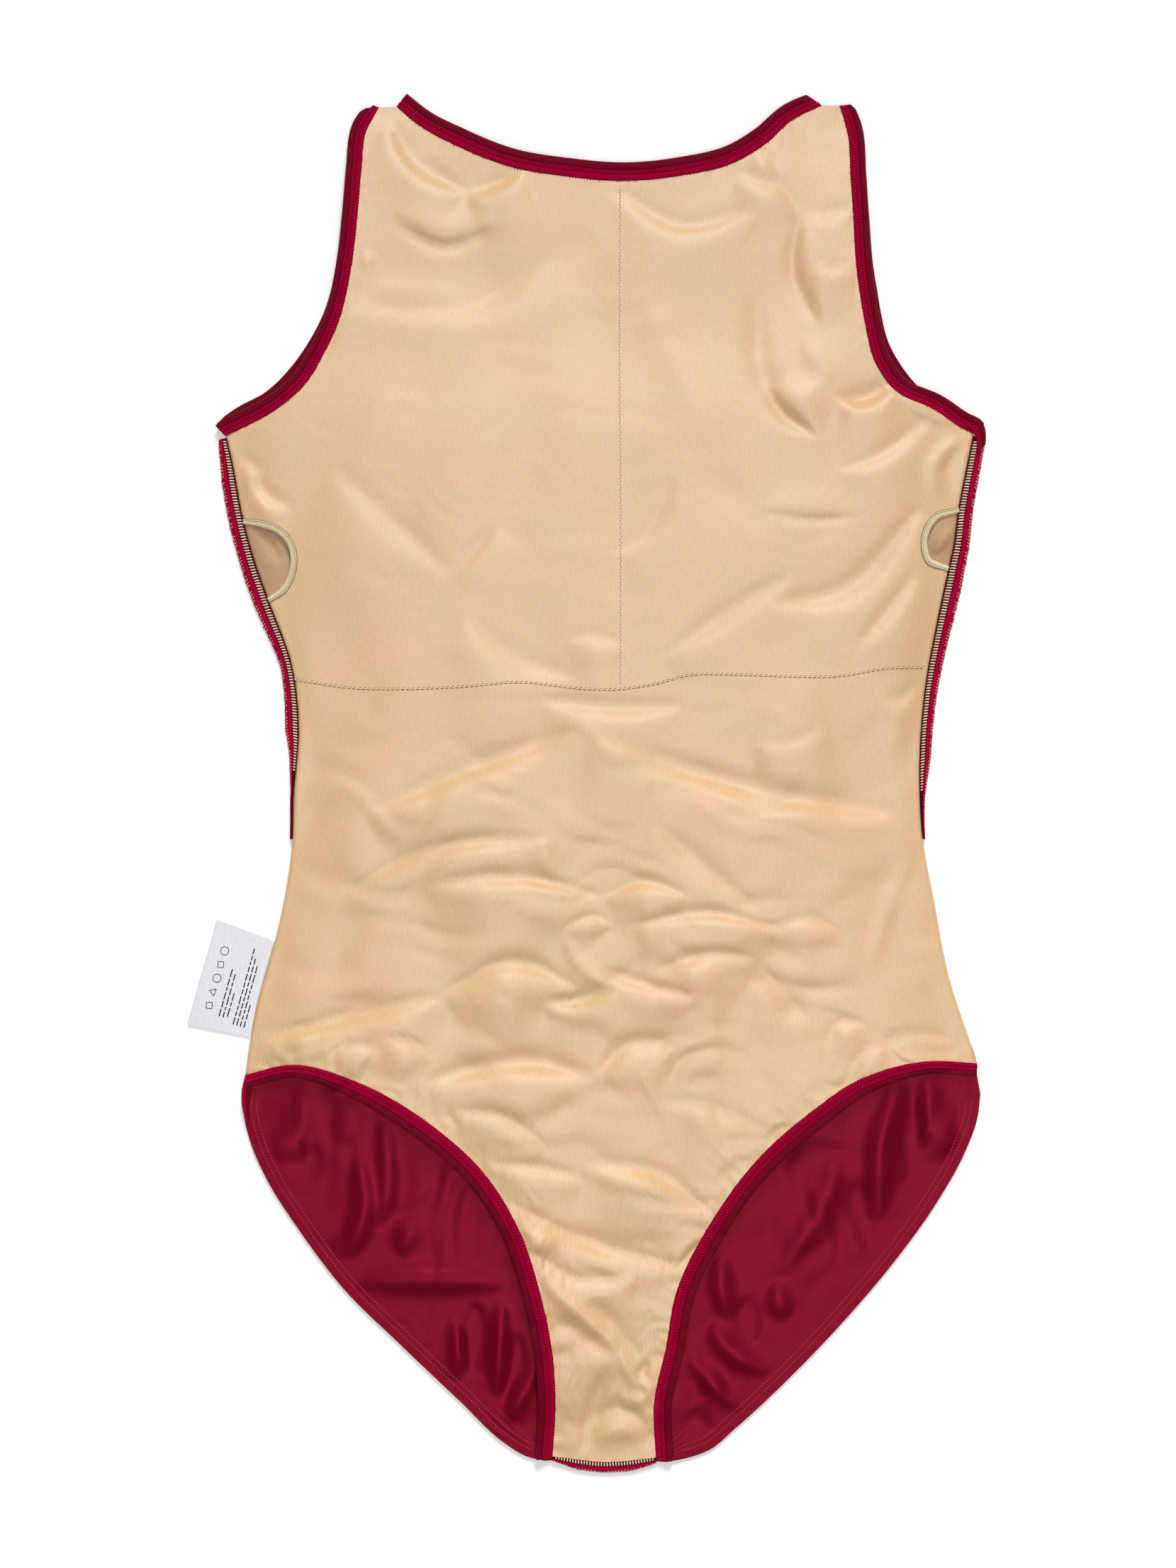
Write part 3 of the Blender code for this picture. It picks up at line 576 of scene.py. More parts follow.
# %% The front's loft
BODY_LOFT, STRAP_LOFT = 6.0, 2.2   # how high it stands off the back, on the body and the straps
STRAP_START, STRAP_END = 150.0, 260.0    # between these heights it passes from one to the other
LOFT_REACH = 38.0                  # how far from a sewn edge it has mostly grown


def loft_of(points):
    """Height of the front over the back: none at its sewn edges, growing away from them."""
    tops = [np.array([lines["neck"][k], lines["arm_" + s][-1]])
            for k, s in ((0, "left"), (-1, "right"))]
    sewn = gap_to(points, lines["sewn_left"], lines["sewn_right"],
                  even(lines["crotch"], SEWN_RUNS), *tops)
    fall = np.clip((points[..., 1] - STRAP_START) / (STRAP_END - STRAP_START), 0, 1)
    most = BODY_LOFT + (STRAP_LOFT - BODY_LOFT) * fall ** 2 * (3 - 2 * fall)
    return most * (1 - np.exp(-(sewn / LOFT_REACH) ** 1.5)), sewn


# %% Height of the back's upper face
BACK_WAVES = [(95, 15, 0.45), (70, 21, 0.5), (20, 26, 0.45)]   # slant, length, height
BACK_RISE = 1.35                   # share of the table's height that its folds have
BACK_PUCKER = (8.5, 0.40, 13.0)    # pitch, height and reach along the leg hems
HEM_FLAT = 10.0                    # the turned hem is thick, and lies flatter than the panel
HEM_COVER = 9.0                    # width of the back that the front's leg hem hides


def uncovered(points):
    """How far a point lies out in a leg opening, clear of the front's hem; 0 under the front."""
    out = np.zeros(points.shape[:-1])
    for name, open_side in SIDES:
        gap, side, _ = distance(points, even(lines["leg_" + name], COARSE))
        out = np.maximum(out, np.where(side == open_side, np.maximum(gap - HEM_COVER, 0), 0))
    return np.where(points[..., 1] < lines["leg_left"][-1, 1], out, 0)


def back_top(points):
    """Height of the back's upper face: its cloth, its folds, and puckers along its leg hems.

    Under the front the folds stay lower than its loft; out in the openings they are free.
    """
    loft, _ = loft_of(points)
    fold = BACK_RISE * ridges(points, BACK_FOLDS) + drape(points, BACK_WAVES, 7, 61)
    legs = [lines["back_leg_" + name] for name, _ in SIDES]
    edge = gap_to(points, *(even(path, COARSE) for path in legs))
    pucker = sum(puckers(points, path, *BACK_PUCKER, 3 + k) for k, path in enumerate(legs))
    free = 1 - np.exp(-(edge / HEM_FLAT) ** 2)
    raised = fold * free + pucker * (0.25 + 0.75 * free)
    raised = np.minimum(raised, 0.8 * loft + 0.3 + 0.6 * uncovered(points))
    return CLOTH + CLEAR + np.maximum(raised, -0.6 * CLOTH)


# %% Heights of the front's two faces
SIDE_ROLL, SIDE_ROLL_UNDER = 1.7, 1.4    # radii of the front's edge down the sides
FOLD_REACH = 7.0                   # how far from a sewn edge the folds have mostly grown
# Slant, length and height of the front's waves
FRONT_WAVES = [(12, 26, 0.95), (-20, 19, 0.60), (35, 34, 0.95), (-3, 14, 0.22)]
BROAD_SWELL = 0.60                 # height of the slowest unevenness
CHEST = 0.22                       # the waves' share on the chest, where the cloth is smoother
PUCKER = {"nec": 0.28, "arm": 0.22, "leg": 0.70}   # height, by the start of a hem's name


def front_under(points):
    """Height of the front's underside: its loft, and folds and waves that die out at seams."""
    loft, sewn = loft_of(points)
    folds = creases(points, LARGE_FOLDS) + creases(points, SMALL_FOLDS) + ridges(points, RIDGES)
    belly = CHEST + (1 - CHEST) / (1 + np.exp((points[..., 1] - 35) / 12))
    folds += belly * drape(points, FRONT_WAVES, 10, 31) + BROAD_SWELL * swell(points, 62, 1)
    return CLOTH + GAP + np.maximum(loft + folds * (1 - np.exp(-(sewn / FOLD_REACH) ** 2)), 0)


def hem_puckers(points):
    """Puckers of the lining along its neck, armhole and leg hems."""
    total = np.zeros(points.shape[:-1])
    for k, name in enumerate(("neck", "arm_left", "arm_right", "leg_left", "leg_right")):
        reach = 13.0 if name.startswith("leg") else 8.0
        total += puckers(points, lines[name], 6.5 + 0.5 * k, PUCKER[name[:3]], reach, 10 + k)
    return total


def rolled(heights, points, radius):
    """Heights brought down to the table along the side seams, in a quarter round."""
    gap = gap_to(points, lines["sewn_left"], lines["sewn_right"])
    share = np.clip(gap / radius, 0, 1)
    return CLEAR + (heights - CLEAR) * np.sqrt(1 - (1 - share) ** 2)


# %% [markdown]
# ## Meshes
# A panel is a closed wall: its upper face, its lower face and a rim. A thread is a tube along
# a path, and hundreds of equal stitches are computed as one array and put in one mesh. Points
# and faces go in as whole arrays. A mesh's signed volume tells whether its faces point
# outwards, and if it is negative every face is turned round.

# %% A mesh from arrays
def signed_volume(points, faces):
    """Six times the volume: corner 0 dot corner 1 cross corner 2, over each face's triangles."""
    total = 0.0
    for group in faces:
        for k in range(1, group.shape[1] - 1):
            a, b, c = points[group[:, 0]], points[group[:, k]], points[group[:, k + 1]]
            total += (a * np.cross(b, c)).sum()
    return total


def new_piece(name, points, faces, materials, slots=None, uv=None, sharp=None):
    """A piece of cloth or thread riding on the leotard, from points in millimetres."""
    if signed_volume(points, faces) < 0:
        faces = [group[:, ::-1] for group in faces]
    sizes = np.concatenate([np.full(len(group), group.shape[1]) for group in faces])
    corners = np.concatenate([group.ravel() for group in faces])
    mesh = bpy.data.meshes.new(name)
    mesh.vertices.add(len(points))
    mesh.vertices.foreach_set("co", (points * MM).astype(np.float32).ravel())
    mesh.loops.add(len(corners))
    mesh.loops.foreach_set("vertex_index", corners.astype(np.int32))
    mesh.polygons.add(len(sizes))
    mesh.polygons.foreach_set("loop_start", (np.cumsum(sizes) - sizes).astype(np.int32))
    if slots is not None:
        mesh.polygons.foreach_set("material_index", slots.astype(np.int32))
    mesh.update(calc_edges=True)
    if uv is not None:
        layer = mesh.uv_layers.new(name="Cloth")
        layer.data.foreach_set("uv", uv[corners].astype(np.float32).ravel())
    mesh.shade_smooth()
    if sharp:
        mesh.set_sharp_from_angle(angle=np.radians(sharp))
    for material in materials:
        mesh.materials.append(material)
    piece = bpy.data.objects.new(name, mesh)
    scene.collection.objects.link(piece)
    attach(piece, "root")
    print(f"{name}: {len(points)} points, {(sizes - 2).sum()} triangles")
    return piece


# %% A closed wall on a net
THIN = 0.02                        # least thickness of a wall, where its edge rolls down


def cloth_wall(name, plan, under, over, materials, slot_of, uv=None):
    """Upper face, lower face and rim of a net of points; slot_of gives each part's material.

    Where the faces come closer than THIN, the upper one stays that far above the lower.
    """
    over = np.maximum(over, under + THIN)
    rows, columns = plan.shape[:2]
    count = rows * columns
    low = np.concatenate([plan, under[..., None]], axis=2).reshape(-1, 3)
    high = np.concatenate([plan, over[..., None]], axis=2).reshape(-1, 3)
    index = np.arange(count).reshape(rows, columns)
    quads = np.stack([index[:-1, :-1], index[:-1, 1:], index[1:, 1:], index[1:, :-1]],
                     axis=-1).reshape(-1, 4)
    rim = np.concatenate([index[0], index[1:, -1], index[-1, -2::-1], index[-2:0:-1, 0]])
    after = np.roll(rim, -1)
    sides = np.stack([rim, after, after + count, rim + count], axis=-1)
    faces = [quads + count, quads[:, ::-1], sides]
    slots = np.concatenate([np.broadcast_to(slot_of[k], len(f)) for k, f in enumerate(faces)])
    flat = plan.reshape(-1, 2) * MM if uv is None else uv.reshape(-1, 2)
    return new_piece(name, np.concatenate([low, high]), faces, materials, slots,
                     np.concatenate([flat, flat]), sharp=60)


# %% Threads
def tubes(centres, radius, sides=6, flat=1.0):
    """Points and faces of tubes along paths: m tubes of n points each, capped at both ends.

    Round each point, the ring is cosine times the level direction across the path plus sine
    times the direction at right angles to both, the second scaled by flat.
    """
    m, n = centres.shape[:2]
    run = np.gradient(centres, axis=1)
    run /= np.linalg.norm(run, axis=2)[..., None]
    level = np.cross(run, [0, 0, 1.0])
    level /= np.maximum(np.linalg.norm(level, axis=2), 1e-6)[..., None]
    lift = np.cross(level, run)
    turn = np.linspace(0, 2 * np.pi, sides, endpoint=False)[:, None]
    radius = np.broadcast_to(np.asarray(radius, float), (m, n))[..., None, None]
    points = (centres[:, :, None] + radius * (np.cos(turn) * level[:, :, None]
                                              + flat * np.sin(turn) * lift[:, :, None]))
    index = np.arange(m * n * sides).reshape(m, n, sides)
    a, b = index[:, :-1], index[:, 1:]
    walls = np.stack([a, b, np.roll(b, -1, axis=2), np.roll(a, -1, axis=2)], axis=-1)
    return points.reshape(-1, 3), [walls.reshape(-1, 4), index[:, 0], index[:, -1, ::-1]]


def together(*parts):
    """Several sets of points and faces as one."""
    points, faces, base = [], [], 0
    for p, f in parts:
        faces += [group + base for group in f]
        points.append(p)
        base += len(p)
    return np.concatenate(points), faces


# %% [markdown]
# ## Cloth and thread
# The lining is a fine tricot: ribs less than a millimetre apart run up the body and give it a
# satin sheen. The ribs are a wave on the cloth's own flat coordinates, so they lean with it, in
# both the bump and the colour, and a slow noise makes the beige drift between pinkish and
# greenish as in the photograph. The shell is a smooth stretch knit with a sheen, its ribs
# finer and lower. Threads are matt, with the fine fuzz of their fibres.

# %% A cloth material
RIB_RELIEF = 0.03                  # height of the ribs beside that of the loops
GRAIN = 0.10                       # how much darker the darkest speck of yarn is


def new_node(material, kind, inputs, **settings):
    """A node of a material with its settings and its inputs."""
    node = material.node_tree.nodes.new(kind)
    for name, value in settings.items():
        setattr(node, name, value)
    fill(node, inputs)
    return node


def cloth_material(name, tones, ribs, roughness, gloss, bump, fine=1800.0, drift=9.0):
    """Shader for a knit: tones drift by a slow noise, ribs are a wave across the flat cloth.

    tones are two colours, ribs is the spacing of the wales in metres and their depth of shade,
    gloss is the level and tint of its shine, bump is the height of the wales in metres, and
    fine the density of the loops.
    """
    material, shader = new_material(name)
    flat = new_node(material, "ShaderNodeUVMap", {}, uv_map="Cloth").outputs["UV"]
    slow = new_node(material, "ShaderNodeTexNoise",
                    {"Vector": flat, "Scale": drift, "Detail": 3.0})
    tone = new_node(material, "ShaderNodeMix",
                    {0: slow.outputs["Fac"], 6: (*tones[0], 1), 7: (*tones[1], 1)},
                    data_type="RGBA")
    wales = new_node(material, "ShaderNodeTexWave",
                     {"Vector": flat, "Scale": 0.1 * np.pi / ribs[0], "Distortion": 2.5,
                      "Detail": 2.0, "Detail Scale": 0.6})
    depth = new_node(material, "ShaderNodeMapRange",
                     {"Value": wales.outputs["Fac"], "To Min": 1.0 - ribs[1], "To Max": 1.0})
    stretch = new_node(material, "ShaderNodeMapping", {"Vector": flat, "Scale": (1.0, 0.3, 1.0)})
    grain = new_node(material, "ShaderNodeTexNoise",
                     {"Vector": stretch.outputs["Vector"], "Scale": 900.0, "Detail": 3.0})
    specks = new_node(material, "ShaderNodeMapRange",
                      {"Value": grain.outputs["Fac"], "From Min": 0.3, "From Max": 0.7,
                       "To Min": 1.0 - GRAIN, "To Max": 1.0})
    both = new_node(material, "ShaderNodeMath",
                    {0: depth.outputs["Result"], 1: specks.outputs["Result"]},
                    operation="MULTIPLY")
    shade = new_node(material, "ShaderNodeMix",
                     {0: 1.0, 6: tone.outputs[2], 7: both.outputs["Value"]},
                     data_type="RGBA", blend_type="MULTIPLY")
    loops = new_node(material, "ShaderNodeTexNoise",
                     {"Vector": flat, "Scale": fine, "Detail": 1.0})
    height = new_node(material, "ShaderNodeMath",
                      {0: wales.outputs["Fac"], 1: RIB_RELIEF, 2: loops.outputs["Fac"]},
                      operation="MULTIPLY_ADD")
    relief = new_node(material, "ShaderNodeBump",
                      {"Height": height.outputs["Value"], "Strength": 1.0, "Distance": bump})
    fill(shader, {"Base Color": shade.outputs[2], "Normal": relief.outputs["Normal"],
                  "Roughness": roughness, "Specular IOR Level": gloss[0],
                  "Specular Tint": (*gloss[1], 1)})
    return material


# %% A thread material
FIBRES = 1500.0                    # to a metre
THREAD_GLOSS, THREAD_RELIEF = 0.35, 0.0001


def thread_material(name, colour, dark=0.72, roughness=0.7):
    """Shader for yarn: a fine noise for its fibres darkens the colour and roughens the face."""
    material, shader = new_material(name)
    place = new_node(material, "ShaderNodeTexCoord", {})
    fibres = new_node(material, "ShaderNodeTexNoise",
                      {"Vector": place.outputs["Object"], "Scale": FIBRES, "Detail": 2.0})
    tone = new_node(material, "ShaderNodeValToRGB", {"Fac": fibres.outputs["Fac"]})
    tone.color_ramp.elements[0].position = 0.3
    tone.color_ramp.elements[0].color = (*(dark * np.array(colour)), 1)
    tone.color_ramp.elements[1].position = 0.7
    tone.color_ramp.elements[1].color = (*colour, 1)
    relief = new_node(material, "ShaderNodeBump", {"Height": fibres.outputs["Fac"],
                                                   "Strength": 0.5, "Distance": THREAD_RELIEF})
    fill(shader, {"Base Color": tone.outputs["Color"], "Normal": relief.outputs["Normal"],
                  "Roughness": roughness, "Specular IOR Level": THREAD_GLOSS,
                  "Specular Tint": (*colour, 1)})
    return material


# %% The finishes
WHITE, RED = (1, 1, 1), (1, 0.05, 0.11)
LINING = cloth_material("lining", ((0.770, 0.553, 0.254), (0.945, 0.514, 0.285)), (0.0009, 0.07),
                        0.47, (1.0, WHITE), 0.00003, drift=24.0)
SHELL = cloth_material("shell", ((0.164, 0.0016, 0.013), (0.134, 0.0015, 0.011)), (0.0005, 0.08),
                       0.38, (0.75, RED), 0.00001, fine=2500.0, drift=14.0)
HEM_SHELL = cloth_material("hem_shell", ((0.170, 0.0030, 0.017), (0.120, 0.0022, 0.012)),
                           (0.0005, 0.05), 0.62, (0.45, RED), 0.00001, fine=2500.0, drift=40.0)
POCKET_CLOTH = cloth_material("pocket_cloth", ((0.66, 0.40, 0.22), (0.58, 0.35, 0.19)),
                              (0.0009, 0.08), 0.6, (0.3, WHITE), 0.00004)
SATIN = cloth_material("satin", ((0.84, 0.84, 0.89), (0.88, 0.88, 0.92)), (0.0003, 0.03), 0.35,
                       (0.4, WHITE), 0.00001, fine=3000.0, drift=30.0)
CRIMSON = thread_material("crimson_thread", (0.52, 0.003, 0.050))
# A darker copy of the crimson thread, for the hem's bed under the braid: the braid's
# under-threads, darkened as painted shade between its threads.
SHADED_CRIMSON = thread_material("crimson_shade", (0.36, 0.002, 0.032))
MAROON = thread_material("maroon_thread", (0.10, 0.002, 0.010))
BEIGE_THREAD = thread_material("beige_thread", (0.95, 0.72, 0.55), 0.85)
CREAM_THREAD = thread_material("cream_thread", (0.90, 0.77, 0.50), 0.9)
OLIVE = thread_material("olive_thread", (0.25, 0.20, 0.08))
ROSE = thread_material("rose_thread", (0.60, 0.05, 0.12), 0.85)
WHITE_THREAD = thread_material("white_thread", (0.93, 0.78, 0.58), 0.9)
INK = thread_material("ink", (0.02, 0.02, 0.025), 0.9)

# %% [markdown]
# ## The back panel
# Its shell faces up and its lining down. One net of three blocks spans it out to the legs'
# edges. Down the sides it stops a little inside the seam, so the front's rolled edge passes
# over it.

# %% The back
SIDE_INSET = 2.4                   # how far inside the seam the back stops
ARMPIT_SAG = 10.0                  # how far the row between the armpits bows down
BACK_HEM = 8.5                     # width of the hem turned under at the legs
BACK_COLUMNS = 120
BACK_ROWS = {"leg": 78, "side": 70, "arm": 30}
BACK_TOP = (40, 560)               # samples of a panel's top along each shoulder and the neck
EDGE_COLUMNS = np.array([0, 0.0008, 0.002, 0.0036, 0.0058, 0.009, 0.014, 0.020, 0.026, 0.032])


def fine_columns(count, shoulder):
    """Column shares: a few close to each edge, the shoulder's corner, and even ones between."""
    middle = np.linspace(shoulder, 1 - shoulder, count + 1)
    edge = EDGE_COLUMNS[EDGE_COLUMNS < shoulder - 0.003]
    return np.concatenate([edge, middle, 1 - edge[::-1]])


def three_blocks(crotch, legs, hip, sides, armpit, arms, neck, samples, columns, rows):
    """Nets from crotch to hips, hips to armpits and armpits to shoulders, as one."""
    shoulder, middle = samples
    top = join(even(np.array([arms[0][-1], neck[0]]), shoulder), even(neck, middle),
               even(np.array([neck[-1], arms[1][-1]]), shoulder))
    u = fine_columns(columns, shoulder / (middle + 2 * shoulder))
    v = {k: np.linspace(0, 1, n + 1) for k, n in rows.items()}
    return join(net(crotch, hip, *legs, u, v["leg"]),
                net(hip, armpit, *sides, u, v["side"], by_height=True),
                net(armpit, top, *arms, u, v["arm"]))


def back_plan():
    """Rows and columns of the back, crotch to shoulders."""
    legs = lines["back_leg_left"], lines["back_leg_right"]
    sides = []
    for name, marks, side in (("left", LEFT_MARKS, -1), ("right", RIGHT_MARKS, 1)):
        seam = between(lines["seam_" + name], lines["seam_" + name][0][1], marks["armpit"])
        sides.append(inset(seam, [(0, 0), (0.08, SIDE_INSET), (1, SIDE_INSET)], side))
    arms = [join(sides[k][-1:], lines["back_arm_" + name][30:])
            for k, (name, _) in enumerate(SIDES)]
    crotch = smooth_path([tuple(legs[0][0])] + CROTCH[1:-1] + [tuple(legs[1][0])])
    hip = bowed(legs[0][-1], legs[1][-1], 0)
    armpit = bowed(arms[0][0], arms[1][0], -ARMPIT_SAG)
    return three_blocks(crotch, legs, hip, sides, armpit, arms, lines["back_neck"], BACK_TOP,
                        BACK_COLUMNS, BACK_ROWS)


plan = back_plan()
over = back_top(plan)
under = np.zeros(plan.shape[:2])
middle = (plan[:-1, :-1] + plan[1:, 1:]) / 2
hem_gap = gap_to(middle, *(even(lines["back_leg_" + name], COARSE) for name, _ in SIDES))
underside = np.where(hem_gap.ravel() < BACK_HEM, 0, 1)
back_cloth = cloth_wall("back_cloth", plan, under, over, [SHELL, LINING], [0, underside, 0])
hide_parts("back_panel", "back_leg_hem_left", "back_leg_hem_right")

# %% [markdown]
# ## The front panel
# Its lining faces up and its shell down. The columns bunch up at the edges, where the side
# rolls over, and rows at the pockets, whose openings are cut into the sides.

# %% The front
FRONT_COLUMNS = 128
FRONT_ROWS = {"leg": 135, "side": 125, "arm": 62}
FRONT_TOP = (25, 600)
HIP_RISE = 104.0                   # how far the row between the hips bows up


def front_plan():
    """Rows and columns of the front, crotch to shoulders."""
    hip = bowed(lines["low_left"][0], lines["low_right"][0], HIP_RISE)
    armpit = bowed(lines["arm_left"][0], lines["arm_right"][0], -ARMPIT_SAG)
    legs, arms = ([lines[part + name] for name, _ in SIDES] for part in ("leg_", "arm_"))
    sides = [join(even(lines["low_" + name], 320), even(lines["pocket_" + name], 160),
                  even(lines["top_" + name], 60)) for name, _ in SIDES]
    return three_blocks(lines["crotch"], legs, hip, sides, armpit, arms, lines["neck"],
                        FRONT_TOP, FRONT_COLUMNS, FRONT_ROWS)


plan = front_plan()
under = front_under(plan) + np.maximum(hem_puckers(plan), -0.3)
over = rolled(under + CLOTH, plan, SIDE_ROLL)
under = rolled(under, plan, SIDE_ROLL_UNDER)
lean = 0.5 * swell(plan, 60, 7) + 0.15 * creases(plan, LARGE_FOLDS)
flat_cloth = (plan + np.stack([lean, np.zeros_like(lean)], axis=-1)) * MM
front_cloth = cloth_wall("front_cloth", plan, under, over, [LINING, SHELL], [0, 1, 0], flat_cloth)
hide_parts("front_panel")
print("front heights", under.min().round(2), over.max().round(2), "mm")

# %% [markdown]
# ## Ribbons
# Everything sewn along an edge keeps to a ribbon beside it: a place on it is a share of the
# edge's length and a share of the ribbon's width, and a height over what lies below. The
# ground under the ribbon is measured once, on a grid, and read from there, so that thousands
# of stitches cost nothing. Towards its ends the ribbon leans, where hems run over a shoulder.

# %% A ribbon beside a path
LEAN_REACH = 18.0                  # how far from its end a ribbon still leans
GROUND_STEP = 1.5                  # how far apart the ground is measured along a ribbon
BEYOND = 0.1                       # share of its width that the ground reaches past each edge


def ribbon(path, widths, side, ground, start=GAP, slant=(0, 0)):
    """A function that turns shares along and across, and a lift, into points.

    widths are pairs of a share along and a width, start is the gap between path and ribbon,
    and slant its lean at either end in degrees, which dies out like e to the minus distance.
    """
    share = np.linspace(0, 1, len(path))
    steps = np.linalg.norm(np.diff(path, axis=0), axis=1)
    length = steps.sum()
    out = across(path, side)
    along = np.gradient(path, axis=0)
    along /= np.linalg.norm(along, axis=1)[:, None]
    lean = np.radians(slant[0] * np.exp(-share * length / LEAN_REACH)
                      + slant[1] * np.exp(-(1 - share) * length / LEAN_REACH))
    out = out + along * np.tan(lean)[:, None]
    width = np.interp(share, *zip(*widths))

    def plan_of(s, r):
        reach = start + np.interp(s, share, width) * r
        return at(path, s) + at(out, s) * reach[..., None]

    s_knots = np.linspace(0, 1, max(int(length / GROUND_STEP), 8))
    r_knots = np.linspace(-BEYOND, 1 + BEYOND, 7)
    grid = np.broadcast_arrays(s_knots[:, None], r_knots[None, :])
    heights = ground(plan_of(*grid))

    def place(s, r, lift=0.0):
        s, r, lift = np.broadcast_arrays(np.asarray(s, float), np.asarray(r, float), lift)
        i = np.clip(s, 0, 1) * (len(s_knots) - 1)
        j = np.clip((r + BEYOND) / (1 + 2 * BEYOND), 0, 1) * (len(r_knots) - 1)
        i0 = np.minimum(i.astype(int), len(s_knots) - 2)
        j0 = np.minimum(j.astype(int), len(r_knots) - 2)
        a, b = i - i0, j - j0
        z = ((1 - a) * (1 - b) * heights[i0, j0] + a * (1 - b) * heights[i0 + 1, j0]
             + (1 - a) * b * heights[i0, j0 + 1] + a * b * heights[i0 + 1, j0 + 1])
        return np.concatenate([plan_of(s, r), (z + lift)[..., None]], axis=-1)

    place.length = length
    return place


# %% A band on a ribbon
def band(name, place, section, materials, slots_at, pitch=1.5):
    """A closed section carried along a ribbon: each corner is a share across and a height.

    Columns follow the ribbon a pitch apart; slots_at gives the material of each side.
    """
    count = max(int(place.length / pitch), 6)
    section = np.array(section, float)
    s = np.linspace(0, 1, count + 1)
    points = place(s[:, None], section[None, :, 0], section[None, :, 1])
    n = len(section)
    index = np.arange((count + 1) * n).reshape(count + 1, n)
    a, d = index[:-1], index[1:]
    quads = np.stack([a, np.roll(a, -1, axis=1), np.roll(d, -1, axis=1), d], axis=-1)
    slots = np.concatenate([np.tile(slots_at, count), [slots_at[0], slots_at[0]]])
    around = np.concatenate([[0], np.cumsum(np.linalg.norm(np.diff(section * [8, 1], axis=0),
                                                           axis=1))])
    uv = np.stack(np.broadcast_arrays(around[None, :] * MM, s[:, None] * place.length * MM),
                  axis=-1).reshape(-1, 2)
    caps = [index[:1, ::-1], index[-1:]]
    return new_piece(name, points.reshape(-1, 3), [quads.reshape(-1, 4)] + caps, materials, slots,
                     uv, sharp=50)


def rounded(section, count):
    """A section's corners joined by a smooth curve, as count corners."""
    return smooth_path(section, count - 1)


# %% [markdown]
# ## Hems
# At neck, arms and legs the shell is turned out over the lining's edge and held by a cover
# stitch. Its folded rim is smooth and dark. Inside it runs the crimson braid that such a
# machine leaves: two chains of loops next to the rim, and a dense zigzag out to the lining.
# Chains are curves whose loops swing across and lean back along the seam, like those of
# knitting: along = t + a sin 2t, across = b sin t. The zigzag swings from side to side. Pale
# specks beside it are the lining's own yarn between the stitches.

# %% The hem's cloth
HEM_UNDER = [(0.0, 0.85), (0.02, 0.1), (0.10, 0.0), (0.94, 0.0)]
HEM_RIM = rounded([(0.94, 0.0), (1.0, 0.45), (1.01, 1.0), (0.98, 1.65), (0.88, 2.1), (0.74, 2.15),
                   (0.62, 1.9), (0.56, 1.35)], 14)
HEM_BED = [(0.50, 1.2), (0.30, 1.25), (0.06, 1.2)]
HEM_SECTION = np.concatenate([HEM_UNDER[:-1], HEM_RIM, HEM_BED])
# Slot 1, the bed under the braid, takes the darker crimson: the braid's under-threads with
# painted shade between them.
HEM_SLOTS = np.where(HEM_SECTION[:, 0] > 0.53, 0, 1)    # 1 is the bed under the braid
HEM_SLOTS[:3] = 0

# %% Its stitches
HEM_START = 0.12                   # gap between the lining's edge and the hem
ZIGZAG_PITCH, ZIGZAG_THREAD = 1.5, 0.33    # a doubled thread; each thread is given by its radius
CHAIN_PITCH, CHAIN_THREAD, OUTER_THREAD = 2.0, 0.31, 0.30
SPECK_THREAD = 0.13
POINTED = 0.96                     # how sharp the zigzag's turns are; 1 is a plain zigzag


def zigzag(place, low, high, pitch, lift, wobble=0.1):
    """Path that swings across a ribbon once a pitch: an inverse sine of a sine, just rounded."""
    turns = place.length / pitch
    t = np.linspace(0, turns, int(turns * 10) + 1)
    swing = np.arcsin(POINTED * np.sin(2 * np.pi * t)) / np.arcsin(POINTED)
    dice = np.random.default_rng(int(place.length * 10))
    stray = np.interp(t, np.arange(int(turns) + 2), dice.normal(0, wobble, int(turns) + 2))
    across_share = low + (high - low) * (0.5 + 0.5 * swing * (1 + stray))
    return place(t / turns, across_share, lift + 0.10 * np.cos(4 * np.pi * t))[None]


def chain(place, middle, swing, pitch, lift, shift=0.0):
    """Path of looped thread along a ribbon: along = t + a sin 2t, across = b sin t."""
    turns = place.length / pitch
    t = np.linspace(0, turns, int(turns * 12) + 1)
    along = t + 0.17 * np.sin(4 * np.pi * (t + shift))
    spread = middle + swing * np.sin(2 * np.pi * (t + shift))
    return place(along / turns, spread, lift + 0.16 * np.cos(4 * np.pi * (t + shift)))[None]


def dashes(place, starts, r, long, lift, lean=0.0, bend=0.0, points=5):
    """Short stitches from each start, in millimetres along a ribbon; lean is their run across."""
    starts = np.asarray(starts, float)[:, None]
    t = np.linspace(0, 1, points)[None, :]
    s = (starts + long * t) / place.length
    arch = lift + bend * 4 * t * (1 - t)
    return place(s, np.broadcast_to(r + lean * t, s.shape), np.broadcast_to(arch, s.shape))


